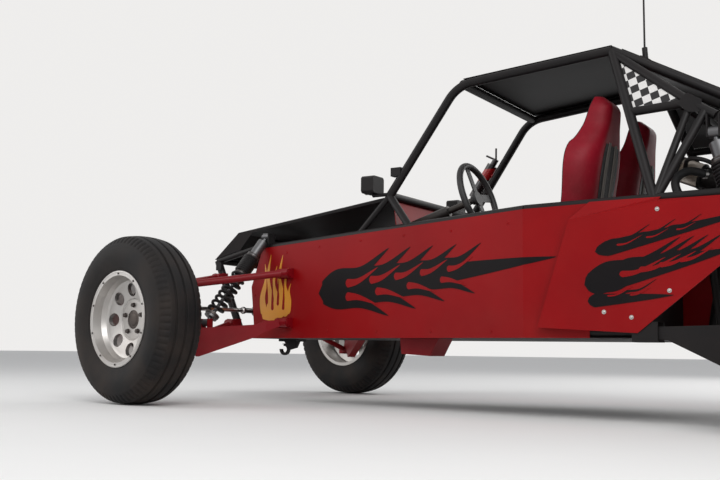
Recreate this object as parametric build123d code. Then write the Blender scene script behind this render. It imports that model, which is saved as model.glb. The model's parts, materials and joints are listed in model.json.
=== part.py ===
"""A two-seat dune buggy: a tube frame with a roll cage, sheet body panels, long-travel
suspension, a rear engine open to view and four big sand tyres.

Millimetres. +X forward, +Y left, +Z up. The ground is at Z 0 and the origin is below the middle
of the vehicle's length and width. A place is given as (back, left, up): how far it lies behind
the front axle, to the left of the middle plane and above the ground.
"""
from build123d import *
import os
from math import atan, atan2, cos, radians, sin, sqrt

os.makedirs("parts", exist_ok=True)

# Wheels and axles
wheelbase = 3050
front_tyre_radius = 380
front_tyre_width = 236
front_wheel_plane = 882
rear_tyre_radius = 432
rear_tyre_width = 360
rear_wheel_plane = 870
front_bead_radius = 209
rear_bead_radius = 215
tyre_seat_radius = 204
rim_lip = 8
rim_wall = 5
hub_bore_radius = 43
cap_recess = 2
cap_wall = 6
stud_reach = 12
lug_circle_radius = 65
lug_count = 5
lug_radius = 8
window_circle_radius = 134
window_radius = 30
window_count = 8
paddle_count = 14
paddle_height = 20
paddle_thickness = 26
crown_half = 42
groove_depth = 9
groove_width = 13
groove_spacing = 50
front_face = 14
rear_face = -40
front_disc_radius = 140
rear_disc_radius = 150
disc_thickness = 10
spindle_radius = 20
rear_spindle_radius = 34
shaft_radius = 20

# Front suspension and steering
kingpin_offset = 90
park_steer = 10.3
upper_ball_up = 128
lower_ball_down = 110
ball_lift = 18
ball_cup_radius = 27
steering_arm_length = 112
steering_arm_up = 43
steering_arm_thickness = 18
rod_end_radius = 19
rod_end_half = 14
arm_tube = 17
pivot_half = 24
rear_pivot_half = 34
pivot_outboard = 60
bracket_wall = 5
front_pivot_back = -60
lower_front_pivot_back = 50
rear_pivot_back = 430
upper_pivot_height = 613
lower_pivot_height = 379
rack_back = 112
rack_height = 445
rack_half_length = 184
rack_ball_left = 278
rack_bar_radius = 13
rack_tube_radius = 27
tie_rod_radius = 10
front_shock_low = (150, 590, 374)
front_shock_top = (268, 300, 803)
front_shock_body = 25
front_collar_drop = 138
rear_shock_low = (wheelbase - 420, 500, 384)
rear_shock_body = 31
rear_collar_drop = 117
eye_half = 18
spring_turns = 8

# Frame
main_tube = 19
light_tube = 14
weld_gap = 0.3
belly_height = 307
panel_wall = 3
nose_rail_left = 268
nose_rail_back = 190
rail_spread = 0.189
tub_rear_back = 1750
kick_back = 2170
cradle_left = 330
cradle_front_back = kick_back + 250
cradle_rear_back = wheelbase - 50
cradle_rear_height = 310
tail_back = wheelbase + 210
tail_top_height = 760
tail_low_height = 400
rail_top_front = 745
rail_top_middle = 803
rail_top_rear = 815
rail_end_back = wheelbase - 330
bulkhead_low_back = 70
bulkhead_top_back = -110
bulkhead_top_height = 703
arm_post_back = 430
tow_bore_radius = 13
tow_plate_thickness = 10
tow_reach = 52
belly_hook_back = 166

# Cage
cowl_back = 1038
cowl_left = 405
cowl_height = 933
roof_front_back = 1363
roof_front_left = 385
roof_front_height = 1394
roof_rear_back = 2035
roof_rear_left = 352
roof_rear_height = 1450
pillar_bend_radius = 150
hoop_foot_back = 2250
hoop_brace_up = 1168
hoop_brace_ahead = 8
brace_back = 2361
brace_left = 452
brace_drop = 90
shock_mount_back = 2455
shock_mount_left = 470
shock_mount_drop = 101
shock_top_drop = 62

# Body panels
skin_end_back = 2010
bevel_back = 2015
nose_tip = (-132, 713)
nose_bend = (45, 841)
hood_cheek = (60, 752)
hood_edge = 14
hood_flange = 22
pod_gap = 42
deck_end_back = wheelbase - 190
bevel_edge_up = 812

# Engine, drive and rear arms
engine_back = wheelbase - 410
engine_half = 190
engine_core_left = 130
bank_tilt = 48
bank_height = 190
bank_half_width = 75
arm_inner_left = 548
arm_outer_left = 612
arm_pivot_back = kick_back + 74
arm_pivot_height = 328
silencer_back = wheelbase + 90
silencer_height = 690
silencer_radius = 62
header_radius = 24
silencer_half = 250

# Cockpit
seat_middle = 250
seat_rail_left = 130
wheel_centre_back = 1404
wheel_centre_height = 915
wheel_centre_left = 267
column_angle = 18
steering_wheel_radius = 165
steering_grip = 14
steering_ratio = 8
column_shroud_radius = 24
pedal_back = 760

# Running clearances
bearing_clearance = 0.4
face_clearance = 0.5
seat_clearance = 0.3

front_rim_half = front_tyre_width / 2 - 24
rear_rim_half = rear_tyre_width / 2 - 30
steer = radians(park_steer)
kingpin_left = front_wheel_plane - kingpin_offset


def front_tyre_outline():
    """Half of the front tyre's outline, from the bead out: (offset from the middle, radius)."""
    half = front_tyre_width / 2
    radius = front_tyre_radius
    return [(front_rim_half + rim_lip, front_bead_radius + 9), (half, radius - 90), (half - 8, radius - 52),
            (half - 21, radius - 28), (half - 38, radius - 12), (crown_half, radius)]


front_reach = kingpin_offset * sin(steer) + max(
    radius * cos(steer) + offset * sin(steer) for offset, radius in front_tyre_outline())
paddle_angles = [radians(360 / paddle_count * index) for index in range(paddle_count)]
rear_reach = wheelbase + max(
    rear_tyre_radius * sin(angle) + paddle_thickness / 4 * abs(cos(angle)) for angle in paddle_angles)
front_axle_x = (rear_reach - front_reach) / 2


def at(back, left, up):
    return Vector(front_axle_x - back, left, up)


def mirrored(shape):
    return mirror(shape, about=Plane.XZ)


def both(shape):
    return [shape, mirrored(shape)]


def save(name, *shapes):
    """Write one sub-part; several shapes become one file of separate solids."""
    solids = [solid for shape in shapes for solid in shape.solids()]
    whole = solids[0] if len(solids) == 1 else Compound(children=solids)
    export_step(whole, f"parts/{name}.step")


def largest(shape):
    return max(shape.solids(), key=lambda solid: solid.volume)


def rod(start, end, radius):
    """A round bar between two points."""
    run = end - start
    return Solid.make_cylinder(radius, run.length, Plane(origin=start, z_dir=run))


def pipe(start, end, radius, bore):
    return rod(start, end, radius) - rod(start, end, bore)


def block(back, left, up):
    """A box from its (low, high) ranges."""
    size = [high - low for low, high in (back, left, up)]
    middle = at(sum(back) / 2, sum(left) / 2, sum(up) / 2)
    return Solid.make_box(*size, Plane(origin=middle - Vector(*size) / 2))


def prism(corners, run):
    """A flat outline carried along a straight run."""
    return Solid.extrude(Face(Wire.make_polygon(corners)), run)


def plate(corners, thickness, towards):
    """A flat sheet with the given corners, thickened towards a direction."""
    face = Face(Wire.make_polygon(corners))
    side = 1 if face.normal_at().dot(towards) > 0 else -1
    return Solid.extrude(face, face.normal_at() * (side * thickness))


def side_profile(points, left_low, left_high):
    """An outline of (back, up) points carried across from one left value to another."""
    return prism([at(back, left_low, up) for back, up in points], Vector(0, left_high - left_low, 0))


def plan_profile(points, low, high):
    """An outline of (back, left) points carried up from one height to another."""
    return prism([at(back, left, low) for back, left in points], Vector(0, 0, high - low))


def front_profile(points, back_low, back_high):
    """An outline of (left, up) points carried back from one station to another."""
    return prism([at(back_low, left, up) for left, up in points], Vector(back_low - back_high, 0, 0))


def turned(section, centre):
    """Turn an (offset, radius) section about a wheel's axis, which runs along Y."""
    face = Face(Wire.make_polygon([Vector(0, offset, radius) for offset, radius in section]))
    return Solid.revolve(face, 360, Axis.Y).moved(Location(centre))


def rail_left(back):
    """Middle of the body rails: they spread apart towards the rear of the tub."""
    return nose_rail_left + rail_spread * (min(back, tub_rear_back) - nose_rail_back)


def rail_up(back):
    """Height of the upper body rail."""
    stations = [(nose_rail_back, rail_top_front), (tub_rear_back, rail_top_middle),
                (rail_end_back, rail_top_rear)]
    for (back_a, up_a), (back_b, up_b) in zip(stations, stations[1:]):
        if back <= back_b:
            return up_a + (up_b - up_a) * (back - back_a) / (back_b - back_a)
    return rail_top_rear


lower_rail_up = belly_height + panel_wall + seat_clearance + main_tube
tub_left = rail_left(tub_rear_back)
skin_left = main_tube + seat_clearance
skin_slant = cos(atan(rail_spread))
pod_left = tub_left + skin_left + pod_gap
deck_rise = (tail_top_height - roof_rear_height) / (tail_back - roof_rear_back)


def stay_up(back):
    """Height of the rear stays' middle, from the roof down to the tail."""
    return roof_rear_height + deck_rise * (back - roof_rear_back)


def hoop_at(up, ahead=0):
    """The place on the main hoop's leg at a height, moved ahead of its middle."""
    share = (roof_rear_height - up) / (roof_rear_height - rail_up(hoop_foot_back))
    return (roof_rear_back + share * (hoop_foot_back - roof_rear_back) - ahead,
            roof_rear_left + share * (tub_left - roof_rear_left), up)


brace_node = (brace_back, brace_left, stay_up(brace_back) - brace_drop)
shock_node = (shock_mount_back, shock_mount_left, stay_up(shock_mount_back) - shock_mount_drop)
rear_shock_top = (shock_mount_back - 9, shock_mount_left, shock_node[2] - shock_top_drop)
hoop_brace_low = hoop_at(hoop_brace_up, hoop_brace_ahead)


# Tube frame and cage

bulkhead_low = (bulkhead_low_back, rail_left(bulkhead_low_back), lower_rail_up + 15)
bulkhead_top = (bulkhead_top_back, rail_left(bulkhead_top_back) + 8, bulkhead_top_height)


def bulkhead_at(up):
    """The place on the inclined bulkhead tube at a height."""
    share = (up - bulkhead_low[2]) / (bulkhead_top[2] - bulkhead_low[2])
    return tuple(low + (top - low) * share for low, top in zip(bulkhead_low, bulkhead_top))


def roof_up(back):
    """Height of the roof rails' middle."""
    share = (back - roof_front_back) / (roof_rear_back - roof_front_back)
    return roof_front_height + share * (roof_rear_height - roof_front_height)


def frame_tubes():
    """Every straight tube of the frame: group, start, end, radius, and whether there is one a side.
    A tube that runs straight across is given from its left end to the middle plane."""
    cowl = (cowl_back, cowl_left, cowl_height)
    roof_rear = (roof_rear_back, roof_rear_left, roof_rear_height)
    hoop_foot = (hoop_foot_back, tub_left, rail_up(hoop_foot_back))
    tower_top = (210, 262, 792)
    tower_side = (233, 272, 766)
    brace_middle = (brace_back + 56, brace_left + 11, brace_node[2] - 38)
    shock_stay = (shock_mount_back + 15, shock_mount_left - 8, shock_node[2] + 6)
    hoop_low = (hoop_foot_back + 6, tub_left, rail_top_rear + 4)
    tail_top = (tail_back, cradle_left, tail_top_height)
    tail_low = (tail_back, cradle_left, tail_low_height)
    rail_end = (rail_end_back, tub_left, rail_top_rear)
    cradle_front = (cradle_front_back, cradle_left, lower_rail_up)
    cradle_rear = (cradle_rear_back, cradle_left, cradle_rear_height)
    rack_beam = (rack_back, rail_left(rack_back), lower_rail_up + 8)

    def low(back):
        return back, rail_left(back), lower_rail_up

    def top(back):
        return back, rail_left(back), rail_up(back)

    paired = [
        ("cage", roof_rear, hoop_foot, main_tube),
        ("lower", bulkhead_low, low(nose_rail_back), main_tube),
        ("lower", low(nose_rail_back), low(tub_rear_back), main_tube),
        ("lower", low(tub_rear_back), low(kick_back), main_tube),
        ("lower", low(kick_back), cradle_front, main_tube),
        ("lower", cradle_front, cradle_rear, main_tube),
        ("lower", top(nose_rail_back), top(tub_rear_back), main_tube),
        ("lower", top(tub_rear_back), rail_end, main_tube),
        ("lower", rail_end, tail_top, main_tube),
        ("lower", bulkhead_low, bulkhead_top, main_tube),
        ("lower", bulkhead_top, tower_side, light_tube),
        ("lower", tower_top, top(nose_rail_back + 60), light_tube),
        ("lower", low(arm_post_back), top(arm_post_back), main_tube),
        ("lower", low(cowl_back), top(cowl_back), main_tube),
        ("lower", low(tub_rear_back), top(tub_rear_back), main_tube),
        ("lower", low(kick_back), hoop_foot, main_tube),
        ("lower", cradle_front, top(cradle_front_back), light_tube),
        ("lower", cradle_rear, tail_low, main_tube),
        ("lower", tail_low, tail_top, main_tube),
        ("cage", cowl, top(cowl_back - 168), light_tube),
        ("cage", cowl, top(cowl_back + 130), main_tube - 2),
        ("cage", hoop_brace_low, brace_node, main_tube - 2),
        ("cage", (roof_rear_back + 7, roof_rear_left + 4, roof_rear_height - 14), brace_node, main_tube - 2),
        ("cage", (brace_back - 9, brace_left, brace_node[2] - 26), hoop_low, light_tube),
        ("cage", brace_node, shock_node, main_tube - 2),
        ("cage", brace_middle, (hoop_foot_back + 8, tub_left - 4, rail_top_rear), main_tube - 3),
        ("cage", shock_stay, rail_end, main_tube - 3),
        ("cage", roof_rear, tail_top, main_tube),
    ]
    across = [
        ("lower", bulkhead_top, light_tube),
        ("lower", bulkhead_low, main_tube),
        ("lower", rack_beam, light_tube),
        ("lower", tower_top, light_tube),
        ("lower", low(arm_post_back), main_tube),
        ("lower", low(cowl_back), main_tube),
        ("lower", low(tub_rear_back), main_tube),
        ("lower", low(kick_back), main_tube),
        ("lower", cradle_front, main_tube),
        ("lower", cradle_rear, main_tube),
        ("lower", tail_low, main_tube),
        ("lower", tail_top, main_tube),
        ("cage", cowl, main_tube),
        ("cage", (roof_front_back + 25, roof_front_left, roof_up(roof_front_back + 25)), main_tube),
        ("cage", roof_rear, main_tube),
        ("cage", hoop_foot, main_tube),
        ("cage", brace_node, main_tube - 2),
        ("cage", shock_node, main_tube),
    ]
    tubes = [(group, at(*start), at(*end), radius, True) for group, start, end, radius in paired]
    tubes += [(group, at(*station), at(station[0], 0, station[2]), radius, False)
              for group, station, radius in across]
    return tubes


def segment_gap(start_a, end_a, start_b, end_b, steps=24):
    """Smallest distance between two straight runs, measured at a few places along the first."""
    direction = (end_b - start_b).normalized()
    length = (end_b - start_b).length
    gaps = []
    for step in range(steps + 1):
        place = start_a + (end_a - start_a) * (step / steps)
        along = min(max((place - start_b).dot(direction), 0), length)
        gaps.append((start_b + direction * along - place).length)
    return min(gaps)


def cage_rail(radius):
    """Windscreen pillar and roof rail, one tube bent at the front corner of the roof."""
    corners = [at(cowl_back, cowl_left, cowl_height), at(roof_front_back, roof_front_left, roof_front_height),
               at(roof_rear_back, roof_rear_left, roof_rear_height)]
    path = FilletPolyline(*corners, radius=pillar_bend_radius)
    section = Plane(origin=corners[0], z_dir=corners[1] - corners[0]) * Circle(radius)
    return sweep(section, path).solid()


def coped_frame(tubes):
    """The frame's tubes as solids. A tube is notched round those before it in the list, with a weld
    gap, as the tubes of a real frame are."""
    bent_cut = cage_rail(main_tube + weld_gap)
    groups = {"lower": [], "cage": []}
    placed = []
    for group, start, end, radius, is_pair in tubes:
        tube = rod(start, end, radius)
        if group == "cage":
            tube = tube - bent_cut
        for other_start, other_end, other_radius in placed:
            if segment_gap(start, end, other_start, other_end) < radius + other_radius:
                tube = tube - rod(other_start, other_end, other_radius + weld_gap)
        tube = largest(tube)
        placed.append((start, end, radius))
        if is_pair:
            groups[group] += both(tube)
        else:
            groups[group].append(largest(tube + mirrored(tube)))
    return groups, both(cage_rail(main_tube))


def notched(shape, tubes):
    """Cut a bracket or sheet round every frame tube that it meets, with the weld gap."""
    bounds = shape.bounding_box()
    low, high = bounds.min, bounds.max
    runs = [(start, end, radius) for _, start, end, radius, _ in tubes]
    runs += [(Vector(start.X, -start.Y, start.Z), Vector(end.X, -end.Y, end.Z), radius)
             for start, end, radius in runs]
    for start, end, radius in runs:
        if all(min(a, b) - radius < upper and max(a, b) + radius > lower for a, b, lower, upper in (
                (start.X, end.X, low.X, high.X), (start.Y, end.Y, low.Y, high.Y),
                (start.Z, end.Z, low.Z, high.Z))):
            shape = shape - rod(start, end, radius + weld_gap)
    if high.Z > cowl_height - main_tube and high.Z < roof_rear_height:
        for rail in both(cage_rail(main_tube + weld_gap)):
            shape = shape - rail
    return largest(shape)


# Brackets welded to the frame

def pivot_bracket(back, up, half, base):
    """Two ears and their base at a suspension pivot; base gives its inner face at a station."""
    pivot_left = rail_left(back) + pivot_outboard
    inner = half + face_clearance
    outer = inner + bracket_wall
    tip = pivot_left + 16
    plan = [(back - outer, base(back - outer)), (back + outer, base(back + outer)), (back + outer, tip),
            (back + inner, tip), (back + inner, base(back + inner) + 13), (back - inner, base(back - inner) + 13),
            (back - inner, tip), (back - outer, tip)]
    ears = plan_profile(plan, up - 24, up + 24)
    nose = rod(at(back - 60, pivot_left, up), at(back + 60, pivot_left, up), 16)
    return ears & (block((back - 60, back + 60), (0, pivot_left - 8), (up - 24, up + 24)) + nose)


def front_arm_brackets(tubes):
    """Ears for both front arms: on the bulkhead tube in front, through the side sheet behind."""
    def on_skin(back):
        return rail_left(back) + (skin_left + panel_wall) / skin_slant + seat_clearance

    brackets = []
    for back, up in ((front_pivot_back, upper_pivot_height), (lower_front_pivot_back, lower_pivot_height)):
        tube_left = bulkhead_at(up)[1] + 9
        brackets.append(notched(pivot_bracket(back, up, pivot_half, lambda _: tube_left), tubes))
    for up in (upper_pivot_height, lower_pivot_height):
        ears = pivot_bracket(rear_pivot_back, up, rear_pivot_half, lambda back: on_skin(back) - 7)
        slab = plan_profile([(200, 0), (200, on_skin(200)), (700, on_skin(700)), (700, 0)], 300, 700)
        brackets.append(largest(ears - slab - leg_way()))
    return brackets


def leg_way():
    """The room that the slanting rear leg of a front arm needs past its bracket."""
    pivot = (rear_pivot_back, rail_left(rear_pivot_back) + pivot_outboard)
    run = Vector(-pivot[0], kingpin_left - pivot[1], 0).normalized()
    half = arm_tube + 4
    start, end = Vector(*pivot, 0) + run * 26, Vector(*pivot, 0) + run * 200
    side = Vector(run.Y, -run.X, 0) * half
    return plan_profile([(point.X, point.Y) for point in (start - side, end - side, end + side, start + side)], 300, 700)


def shock_ears(low, top, body, left_range, up_range, tubes):
    """Two plates either side of a damper's upper eye, clear of the damper's body."""
    axis = (at(*low) - at(*top)).normalized()
    clear = rod(at(*top) + axis * 30, at(*low), body + 6)
    ears = []
    for side in (1, -1):
        near, far = sorted((top[0] + side * (eye_half + face_clearance),
                            top[0] + side * (eye_half + face_clearance + bracket_wall + 1)))
        ear = block((near, far), left_range, up_range)
        ears.append(notched(ear - clear, tubes))
    return ears


def trailing_arm_bracket(tubes):
    """Ears behind the tub's last cross tube that hold the trailing arm's pivot."""
    inner, outer = arm_inner_left - 4, arm_outer_left + 4
    wall = bracket_wall + 1
    front = kick_back + 8
    plan = [(front, inner - wall), (front, outer + wall), (arm_pivot_back + 26, outer + wall),
            (arm_pivot_back + 26, outer), (front + 19, outer), (front + 19, inner),
            (arm_pivot_back + 26, inner), (arm_pivot_back + 26, inner - wall)]
    ears = plan_profile(plan, arm_pivot_height - 36, arm_pivot_height + 36)
    return notched(ears, tubes)


def brace_gusset(tubes):
    """Flat gusset on the outside of the brace joint, cut round the tubes that meet there."""
    face = brace_left + main_tube - 2 + seat_clearance
    back, up = brace_node[0], brace_node[2]
    sheet = side_profile([(back - 44, up - 6), (back - 10, up + 34), (back + 44, up + 2), (back + 40, up - 44),
                          (back - 6, up - 40)], face, face + 4)
    return notched(sheet, tubes)


def belly_hook():
    """Open hook on a plate under the belly sheet, behind the nose."""
    back, top, thick = belly_hook_back, belly_height - seat_clearance, 16
    centre = at(back, -thick / 2, top - 52)
    ring = Solid.make_cylinder(30, thick, Plane(origin=centre, z_dir=(0, 1, 0)))
    ring = ring - Solid.make_cylinder(17, thick, Plane(origin=centre, z_dir=(0, 1, 0)))
    mouth = block((back - 60, back - 4), (-thick, thick), (top - 50, top - 26))
    stem = side_profile([(back, top - 12), (back + 92, top - 12), (back + 76, top - 44), (back + 24, top - 56),
                         (back + 12, top - 28)], -thick / 2, thick / 2)
    foot = block((back - 10, back + 104), (-42, 42), (top - 12, top))
    return largest((ring - mouth) + stem + foot)


def rack_saddle(tubes):
    """Plate from the rack's cross tube up to the rack housing."""
    saddle = block((rack_back - 12, rack_back + 12), (130, 150), (lower_rail_up, rack_height - 10))
    saddle = saddle - rod(at(rack_back, 0, rack_height), at(rack_back, 300, rack_height), rack_tube_radius + seat_clearance)
    return notched(saddle, tubes)


def tow_plate(back, up, direction, tubes):
    """Flat tow plate on a cross tube with an upright bore for a shackle pin."""
    near, far = sorted((back + direction * 10, back + direction * (main_tube + tow_reach)))
    tongue = block((near, far), (-40, 40), (up - tow_plate_thickness / 2, up + tow_plate_thickness / 2))
    bore_back = back + direction * (main_tube + tow_reach - 24)
    tongue = tongue - rod(at(bore_back, 0, up - 40), at(bore_back, 0, up + 40), tow_bore_radius)
    corners = [edge for edge in tongue.edges().filter_by(Axis.Z)
               if edge.geom_type == GeomType.LINE and abs((edge.center().X - at(back, 0, 0).X)) > main_tube + 10]
    return notched(fillet(corners, 18), tubes)


def nose_bracket(tubes):
    """Small plate behind the nose lip, where the hood bolts to the bulkhead."""
    back, left, up = bulkhead_at(bulkhead_top_height - 22)
    return notched(block((back - 4, back + 30), (left + 6, left + 26), (up - 26, up + 14)), tubes)


def frame_brackets(tubes):
    """The brackets other than the front arms', on both sides where they come in pairs."""
    sided = shock_ears(front_shock_low, front_shock_top, front_shock_body, (266, 318),
                        (rail_up(front_shock_top[0]) + 8, front_shock_top[2] + 16), tubes)
    sided += shock_ears(rear_shock_low, rear_shock_top, rear_shock_body, (448, 492),
                        (rear_shock_top[2] - 20, rear_shock_top[2] + 66), tubes)
    sided += [trailing_arm_bracket(tubes), rack_saddle(tubes), nose_bracket(tubes), brace_gusset(tubes)]
    brackets = [shape for bracket in sided for shape in both(bracket)]
    brackets.append(tow_plate(bulkhead_low_back, bulkhead_low[2], -1, tubes))
    brackets.append(tow_plate(tail_back, tail_low_height, 1, tubes))
    brackets.append(belly_hook())
    return brackets


# Body panels

pan_end_back = kick_back


def floor_pan():
    """Flat belly sheet under the lower rails."""
    stations = [nose_rail_back - 60, tub_rear_back, pan_end_back]
    outline = [(back, rail_left(back) + main_tube) for back in stations]
    outline += [(back, -rail_left(back) - main_tube) for back in reversed(stations)]
    return plan_profile(outline, belly_height, belly_height + panel_wall)


def foot_box():
    """Shallow box below the floor under the driver's feet."""
    top = belly_height - seat_clearance
    return side_profile([(1092, top), (1100, 240), (1240, 232), (1282, top)], 270, 400)


def firewall():
    """Upright sheet between the rails behind the seats."""
    back = skin_end_back + 40
    inside = tub_left - main_tube - 6
    low = belly_height + panel_wall + seat_clearance
    return block((back, back + panel_wall), (-inside, inside), (low, rail_up(back) - main_tube - 20))


def skin_line(offset):
    """Plan of the body skin on the left, at a distance outside the rails' middle."""
    fold_back = tub_rear_back - offset * (1 / skin_slant - 1) / rail_spread
    front = nose_rail_back - 30
    return [(front, rail_left(front) + offset / skin_slant), (fold_back, tub_left + offset),
            (skin_end_back, tub_left + offset)]


def side_panel():
    """Long side sheet on the outside of the body rails, folded where the tub stops widening."""
    plan = skin_line(skin_left) + skin_line(skin_left + panel_wall)[::-1]
    band = plan_profile(plan, belly_height, rail_top_rear)
    outline = side_profile([
        (nose_rail_back + 10, belly_height), (nose_rail_back - 22, 560),
        (nose_rail_back + 55, rail_up(nose_rail_back + 55)), (tub_rear_back, rail_top_middle),
        (skin_end_back, rail_up(skin_end_back)), (skin_end_back, belly_height)], 0, 900)
    return largest(band & outline)


def rear_panel():
    """Flared panel that stands out from the rails, with a bevel up to the rail and a lower lip."""
    rail_face = tub_left + skin_left
    outer = pod_left + panel_wall
    front_low, rear_low = (1822, 345), (2200, 324)
    front_top, fold_end = (1950, 745), (hoop_foot_back + 30, 792)
    end_back, end_up = rail_end_back - 20, 796
    main = side_profile([front_low, front_top, fold_end, (end_back, end_up), (end_back, 722), rear_low],
                        pod_left, outer)
    fold_front, fold_rear = at(front_top[0], outer, front_top[1]), at(fold_end[0], outer, fold_end[1])
    edge_left = rail_face + panel_wall
    edge_front, edge_rear = at(bevel_back, edge_left, bevel_edge_up), at(fold_end[0], edge_left, bevel_edge_up)
    down = Vector(0, 0, -panel_wall)
    bevel = prism([fold_front, edge_rear, edge_front], down) + prism([fold_front, fold_rear, edge_rear], down)
    shelf = block((fold_end[0] - 2, end_back), (rail_face, outer), (end_up - panel_wall, end_up))
    lip_end = kick_back - 10
    lip_up = front_low[1] + (rear_low[1] - front_low[1]) * (lip_end - front_low[0]) / (rear_low[0] - front_low[0])
    lip = side_profile([front_low, (lip_end, lip_up), (lip_end, lip_up + panel_wall),
                        (front_low[0], front_low[1] + panel_wall)], rail_face + 6, outer)
    return largest(main + bevel + shelf + lip)


def hood_left(back):
    return 250 + 0.157 * (back - nose_bend[0])


hood_rear = (cowl_back - main_tube - seat_clearance, cowl_height - 3)


def hood_plan(inset):
    """Plan of the hood as an upright block: it widens towards the cowl."""
    ends = [(back, hood_left(back) - inset) for back in (nose_tip[0], hood_rear[0])]
    return plan_profile(ends + [(back, -left) for back, left in reversed(ends)], 600, 1000)


def hood_panel(tubes):
    """Nose and hood in one folded sheet with turned-down edges and nose cheeks."""
    reach = 500
    outer = side_profile([nose_tip, nose_bend, hood_rear, (hood_rear[0], hood_rear[1] - hood_edge),
                          (150, 850 - hood_edge), hood_cheek], -reach, reach) & hood_plan(0)
    nose_drop = panel_wall / cos(atan2(nose_bend[1] - nose_tip[1], nose_bend[0] - nose_tip[0]))
    ahead = (nose_tip[0] * 1.1 - nose_bend[0] * 0.1, nose_tip[1] * 1.1 - nose_bend[1] * 0.1 - nose_drop)
    inner = side_profile([ahead, (nose_bend[0], nose_bend[1] - nose_drop), (hood_rear[0], hood_rear[1] - panel_wall),
                          (hood_rear[0], 620), (ahead[0], 620)], -reach, reach) & hood_plan(panel_wall)
    flange = side_profile([nose_tip, hood_cheek, (hood_cheek[0], hood_cheek[1] + panel_wall),
                           (nose_tip[0], nose_tip[1] + panel_wall)], -reach, reach)
    flange = (flange & hood_plan(0)) - hood_plan(hood_flange)
    whole = outer - inner
    for side in flange.solids():
        whole = whole + side
    return notched(whole, tubes)


def dash_panel(tubes):
    """Dash fascia below the cowl tube, folded, with a hole for the steering column."""
    top_up = cowl_height - main_tube - seat_clearance
    fold_up = rail_up(cowl_back) + main_tube
    low_up = fold_up - 130
    half_top, half_low = cowl_left - 30, rail_left(cowl_back) - main_tube - 8
    front, rear = cowl_back, cowl_back + 30
    band = side_profile([(front, top_up), (front + panel_wall, top_up), (rear + panel_wall, fold_up),
                         (rear + panel_wall, low_up), (rear, low_up), (rear, fold_up)], -half_low, half_low)
    outline = front_profile([(half_top, top_up), (half_low, fold_up), (half_low, low_up), (-half_low, low_up),
                             (-half_low, fold_up), (-half_top, top_up)], front - 10, rear + 20)
    hole = rod(column_point(-600), column_point(0), column_shroud_radius + bearing_clearance)
    return notched((band & outline) - hole, tubes)


def roof_panel():
    """Sheet on top of the roof rails, from the front cross tube to the rear hoop."""
    front = roof_front_back + 30

    def edge(back, side):
        left = roof_front_left + (roof_rear_left - roof_front_left) * (back - front) / (roof_rear_back - front) + 6
        return at(back, left * side, roof_up(back) + main_tube + 2 * seat_clearance)
    return plate([edge(front, 1), edge(roof_rear_back, 1), edge(roof_rear_back, -1), edge(front, -1)],
                 panel_wall, Vector(0, 0, 1))


def deck_top(back):
    """Height of the underside of the rear deck."""
    lift = (main_tube + seat_clearance) * sqrt(1 + deck_rise ** 2)
    return roof_rear_height + deck_rise * (back - roof_rear_back) + lift


def rear_deck():
    """Sloping engine cover above the rear stays."""
    def edge(back, side):
        left = roof_rear_left + (cradle_left - roof_rear_left) * (back - roof_rear_back) / (tail_back - roof_rear_back)
        return at(back, (left + 4) * side, deck_top(back))
    front = roof_rear_back + 40
    return plate([edge(front, 1), edge(deck_end_back, 1), edge(deck_end_back, -1), edge(front, -1)],
                 panel_wall, Vector(0, 0, 1))


def checker_panel(tubes):
    """Triangular infill between the hoop, the upper brace and the middle brace."""
    corners = [at(roof_rear_back + 7, roof_rear_left + 4, roof_rear_height - 14), at(*hoop_brace_low), at(*brace_node)]
    return notched(plate(corners, panel_wall, Vector(0, 1, 0)), tubes)


# Wheels

def front_tyre():
    """Ribbed front tyre: four ribs round a flat crown."""
    half = [(front_rim_half, tyre_seat_radius + seat_clearance), (front_rim_half, front_bead_radius + 9)]
    half += front_tyre_outline()
    body = turned(half + [(-offset, radius) for offset, radius in reversed(half)], Vector(0, 0, 0))
    for middle in (-groove_spacing, 0, groove_spacing):
        low, high = middle - groove_width / 2, middle + groove_width / 2
        body = body - turned([(low, front_tyre_radius + 5), (high, front_tyre_radius + 5),
                              (high, front_tyre_radius - groove_depth), (low, front_tyre_radius - groove_depth)],
                             Vector(0, 0, 0))
    return largest(body)


def rear_tyre():
    """Sand tyre with straight paddles across a smooth crown."""
    half_width = rear_tyre_width / 2
    carcass = rear_tyre_radius - paddle_height
    half = [(rear_rim_half, tyre_seat_radius + seat_clearance), (rear_rim_half, rear_bead_radius + 9),
            (rear_rim_half + rim_lip, rear_bead_radius + 9), (half_width, carcass * 0.74),
            (half_width - 10, carcass * 0.9), (half_width - 40, carcass - 6)]
    section = half + [(0, carcass)] + [(-offset, radius) for offset, radius in reversed(half)]
    body = turned(section, Vector(0, 0, 0))
    reach = half_width - 12
    root, tip = paddle_thickness / 2, paddle_thickness / 4
    paddle = prism([Vector(-root, -reach, carcass - 30), Vector(root, -reach, carcass - 30),
                    Vector(tip, -reach, rear_tyre_radius), Vector(-tip, -reach, rear_tyre_radius)],
                   Vector(0, 2 * reach, 0))
    shoulder = prism([Vector(-60, -reach - 1, rear_tyre_radius + 9), Vector(-60, -reach + 60, rear_tyre_radius + 9),
                      Vector(-60, -reach - 1, rear_tyre_radius - 34)], Vector(120, 0, 0))
    paddle = paddle - shoulder - mirrored(shoulder)
    for index in range(paddle_count):
        body = body + paddle.rotate(Axis.Y, index * 360 / paddle_count)
    return largest(body)


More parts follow.
